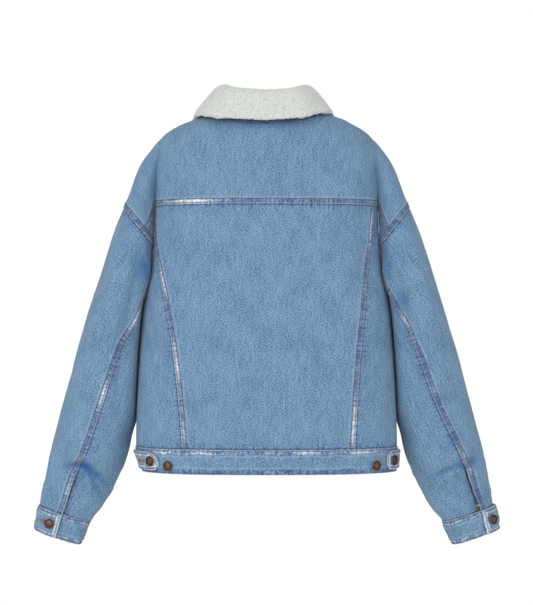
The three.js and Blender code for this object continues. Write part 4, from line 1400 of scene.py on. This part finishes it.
way = np.linspace(-collar["end"], collar["end"], 340)[:, None]
lean = np.concatenate([np.linspace(0, 150, 30), [165, 180]])[None]
sheet = collarSheet(way + 0 * lean, lean + 0 * way)
n = gridNormals(sheet)
sheet = sheet - n * 0.4
w = np.abs(way) + np.zeros((1, 5))
turn = 90 - 180 * w
drop = np.array([[7.0, 5.6, 3.8, 1.8, 0.0]])
gather = 0.5 * noiseOver(97, way * 60, drop / 6)
lap = raised(lambda t, h: torsoPoint(1, t, h), turn, neckZ(turn) - drop, 2.4 + gather, torsoAxis)
lap[..., 0] *= np.sign(way)
grid = np.concatenate([lap, sheet[:, 1:]], 1)
along = arcLengths(grid, 0)
up = arcLengths(grid, 1)
ids, first, faces = weld(grid)
points = grid.reshape(-1, 3)[first]
normals = vertexNormals(points, faces)
if (normals[ids[:, 1]] * lap[:, 1]).sum() < 0:
    faces, normals = faces[:, ::-1], -normals
uv = np.stack([along, up], -1).reshape(-1, 2)[first]
marks = np.zeros((len(points), 3))
marks[:, 0] = 0.8 * np.clip(noiseOver(91, uv[:, 0] / 5, uv[:, 1] / 5), 0, 1)
marks[:, 1], marks[:, 2] = 0.4, 1
seam = np.stack([uv[:, 0], uv[:, 1] + 1.5], -1)
piece = makePiece("collarUnder", points, faces, washedDenim, uv, seam, marks, "collar_under")
solid = piece.modifiers.new("wall", "SOLIDIFY")
solid.thickness, solid.offset = 1.2 * mm, -1
field = np.concatenate([points[ids], normals[ids]], -1)
stitchPaths["brown"].append(field[:, 1])
print("collar done")

# Stitches: each is a short rounded bar of thread that dips into the cloth at both ends.
stitch = {"pitch": 3.3, "length": 3.0, "radius": 0.5, "sides": 6, "across": False}
tack = {"pitch": 0.8, "length": 2.6, "radius": 0.45, "sides": 6, "across": True}


def stitchMesh(paths, size):
    # a spindle of rings about a straight line, copied to even places along every path
    u = np.array([-1, -0.75, 0, 0.75, 1])
    fat = np.array([0, 0.75, 1, 0.75, 0])
    turn = np.arange(size["sides"]) * 2 * np.pi / size["sides"]
    allPoints, allFaces, count = [], [], 0
    ring = size["sides"]
    base = []
    for k in range(3):
        a = 1 + k * ring + np.arange(ring)
        b = 1 + k * ring + (np.arange(ring) + 1) % ring
        if k == 0:
            base.append(np.stack([0 * a, b, a], -1))
        if k < 2:
            base += [np.stack([a, b, b + ring], -1), np.stack([a, b + ring, a + ring], -1)]
        else:
            base.append(np.stack([a, b, 0 * a + 1 + 3 * ring], -1))
    base = np.concatenate(base)
    for path in paths:
        p, n = path[:, :3], path[:, 3:6]
        s = pathLengths(p)
        total = int(s[-1] / size["pitch"])
        if total < 2:
            continue
        at = (np.arange(total) + 0.5) * s[-1] / total
        sample = lambda values, where: np.stack([np.interp(where, s, c) for c in values.T], -1)
        middle, normal = sample(p, at), sample(n, at)
        ahead = sample(p, at + size["length"] / 2) - sample(p, at - size["length"] / 2)
        ahead /= np.maximum(np.linalg.norm(ahead, axis=1), 1e-9)[:, None]
        normal /= np.maximum(np.linalg.norm(normal, axis=1), 1e-9)[:, None]
        beside = np.cross(normal, ahead)
        if size["across"]:
            ahead, beside = beside, -ahead
        spots = []
        for k, (a, r) in enumerate(zip(u, fat)):
            rise = size["radius"] * (1.0 - 1.2 * a * a)
            line = middle + ahead * a * size["length"] / 2 + normal * rise
            if r == 0:
                spots.append(line[:, None])
                continue
            out = beside[:, None] * np.cos(turn)[:, None] + normal[:, None] * np.sin(turn)[:, None]
            spots.append(line[:, None] + out * size["radius"] * r)
        points = np.concatenate(spots, 1)
        each = points.shape[1]
        offset = count + each * np.arange(total)[:, None, None]
        allFaces.append((base[None] + offset).reshape(-1, 3))
        allPoints.append(points.reshape(-1, 3))
        count += each * total
    return np.concatenate(allPoints), np.concatenate(allFaces)


for colour, paths in stitchPaths.items():
    points, faces = stitchMesh(paths, tack if colour == "amber" else stitch)
    piece = makePiece("topstitch_" + colour, points, faces, threads[colour])
    print("topstitch", colour, len(faces), "triangles")


# Buttons: a turned profile of radius, height and how dark, carried round the axis out of the cloth.
buttonSegments = 48
buttonProfile = [
    (0, 0.0, 0),
    (2.6, 0.0, 0),
    (2.6, 1.2, 0.6),
    (7.6, 1.2, 0.6),
    (8.4, 1.6, 0.1),
    (8.5, 2.2, 0),
    (8.1, 2.9, 0),
    (7.4, 3.1, 0),
    (6.8, 2.9, 0.5),
    (6.3, 2.5, 0.9),
    (5.6, 2.6, 0.4),
    (4.0, 3.1, 0.1),
    (2.0, 3.4, 0),
    (0, 3.5, 0),
]


def makeButton(name, node, foot, out):
    # each point of the profile goes its height out and its radius round
    profile = np.array(buttonProfile)
    out = out / np.linalg.norm(out)
    right = np.cross(out, (0, 0, 1.0))
    right /= np.linalg.norm(right)
    upward = np.cross(out, right)
    turn = np.linspace(0, 2 * np.pi, buttonSegments + 1)
    rim = right * np.cos(turn)[:, None] + upward * np.sin(turn)[:, None]
    grid = foot + profile[None, :, 1:2] * out + profile[None, :, 0:1] * rim[:, None]
    grid[-1] = grid[0]
    ids, first, faces = weld(grid)
    points = grid.reshape(-1, 3)[first]
    a, b, c = (points[faces[:, k]] - foot for k in range(3))
    if (a * np.cross(b, c)).sum() < 0:
        faces = faces[:, ::-1]
    marks = np.zeros(grid.shape)
    marks[..., 2] = profile[:, 2]
    piece = makePiece(name, points, faces, agedCopper, marks=marks.reshape(-1, 3)[first], node=node)
    return piece


def footAt(place, base):
    # the middle of a button's foot and the way out, from places 1 mm apart
    low, high = place(base), place(base + 1.0)
    return low.ravel(), (high - low).ravel()


for side in sides:
    one = nameOf[side]
    spots = (
        ("tab", tabButtons[side], bandMiddle, 5.2),
        ("spare", spareButtons[side], bandMiddle - 7, 1.8),
    )
    for label, x, z, base in spots:
        place = lambda lift: torsoAtX(np.array([side * x * 1.0]), np.array([z * 1.0]), lift, 1)
        makeButton(f"tackButton_{label}_{one}", f"button_{label}_{one}", *footAt(place, base))
    turn = meetBack + float(sleeveSwing(side, 1.0)) - 13.5 * 360 / bands["cuffRound"]
    drop = (cuffSeamDrop + cuffEdgeDrop) / 2
    surface = lambda t, d: armPoint(side, t, d)
    place = lambda lift: raised(surface, np.array([turn]), np.array([drop]), lift, armAxis)
    makeButton(f"tackButton_cuff_{one}", f"button_cuff_{one}", *footAt(place, 5.6))
for i in range(5):
    z = mix(-95, -500, i / 4)
    place = lambda lift: torsoAtX(np.array([0.01]), np.array([z * 1.0]), lift, -1)
    makeButton(f"tackButton_front_{i + 1}", f"button_front_{i + 1}", *footAt(place, 3.1))
place = lambda lift: torsoAtX(np.array([0.01]), np.array([bandMiddle * 1.0]), lift, -1)
makeButton("tackButton_waist", "button_waist", *footAt(place, 5.6))
print("buttons done")

# A pale round floor well below the hem, white all round, and soft lamps behind and beside the camera.
studio = {"floorZ": -1.5, "floorRadius": 2.6, "paper": "#f4f4f2", "sky": 0.66}


def makeFloor():
    # a fan of triangles from the middle to points on a circle
    turn = np.linspace(0, 2 * np.pi, 97)[:-1]
    ring = np.stack([np.cos(turn), np.sin(turn)], -1) * studio["floorRadius"]
    points = np.concatenate([[[0, 0, 0]], np.pad(ring, ((0, 0), (0, 1)))])
    points[:, 2] = studio["floorZ"]
    k = np.arange(96)
    faces = np.stack([0 * k, 1 + k, 1 + (k + 1) % 96], -1)
    mesh = bpy.data.meshes.new("paleFloor")
    mesh.from_pydata(points, [], faces.tolist())
    material, tree = newMaterial("paleFloorPaint")  # matt floor paint, plain
    settings = {"Base Color": linear(studio["paper"]), "Roughness": 0.9}
    shader = addNode(tree, "ShaderNodeBsdfPrincipled", settings)
    addNode(tree, "ShaderNodeOutputMaterial", {}, {0: shader.outputs[0]})
    mesh.materials.append(material)
    floor = bpy.data.objects.new("paleFloor", mesh)
    bpy.context.collection.objects.link(floor)


def makeSky():
    # white, at full strength where the camera sees it and softer where it lights the cloth
    world = bpy.data.worlds.new("softSky")
    world.use_nodes = True
    tree = world.node_tree
    background = tree.nodes["Background"]
    background.inputs[0].default_value = (1, 1, 1, 1)
    seen = addNode(tree, "ShaderNodeLightPath").outputs["Is Camera Ray"]
    values = {0: 1 - studio["sky"], 1: 1.0, 2: studio["sky"], "operation": "MULTIPLY_ADD"}
    strength = addNode(tree, "ShaderNodeMath", values, {1: seen}).outputs[0]
    tree.links.new(strength, background.inputs[1])
    bpy.context.scene.world = world


makeFloor()
makeSky()
lamps = [
    ("frontLamp", (0.5, 4.4, 0.6), (0, 0, -0.3), 3.0, 70),
    ("leftLamp", (2.4, 2.2, 0.5), (0.2, 0, -0.4), 1.4, 36),
    ("rightLamp", (-2.4, 2.0, 0.4), (-0.2, 0, -0.4), 1.6, 22),
]
for name, place, target, size, power in lamps:
    light = bpy.data.lights.new(name, "AREA")
    light.size, light.energy = size, power
    lamp = bpy.data.objects.new(name, light)
    lamp.location = place
    aim = Vector(target) - Vector(place)
    lamp.rotation_euler = aim.to_track_quat("-Z", "Y").to_euler()
    bpy.context.collection.objects.link(lamp)

lens = bpy.data.cameras.new("camera")
lens.lens, lens.sensor_width = 107.5, 36
lens.clip_end = 50
camera = bpy.data.objects.new("camera", lens)
camera.location = (0.0, 3.0, -0.298)
camera.rotation_euler = (np.pi / 2, 0, np.pi)
bpy.context.collection.objects.link(camera)
bpy.context.scene.camera = camera
bpy.context.scene.view_settings.view_transform = "Standard"

bpy.context.view_layer.update()
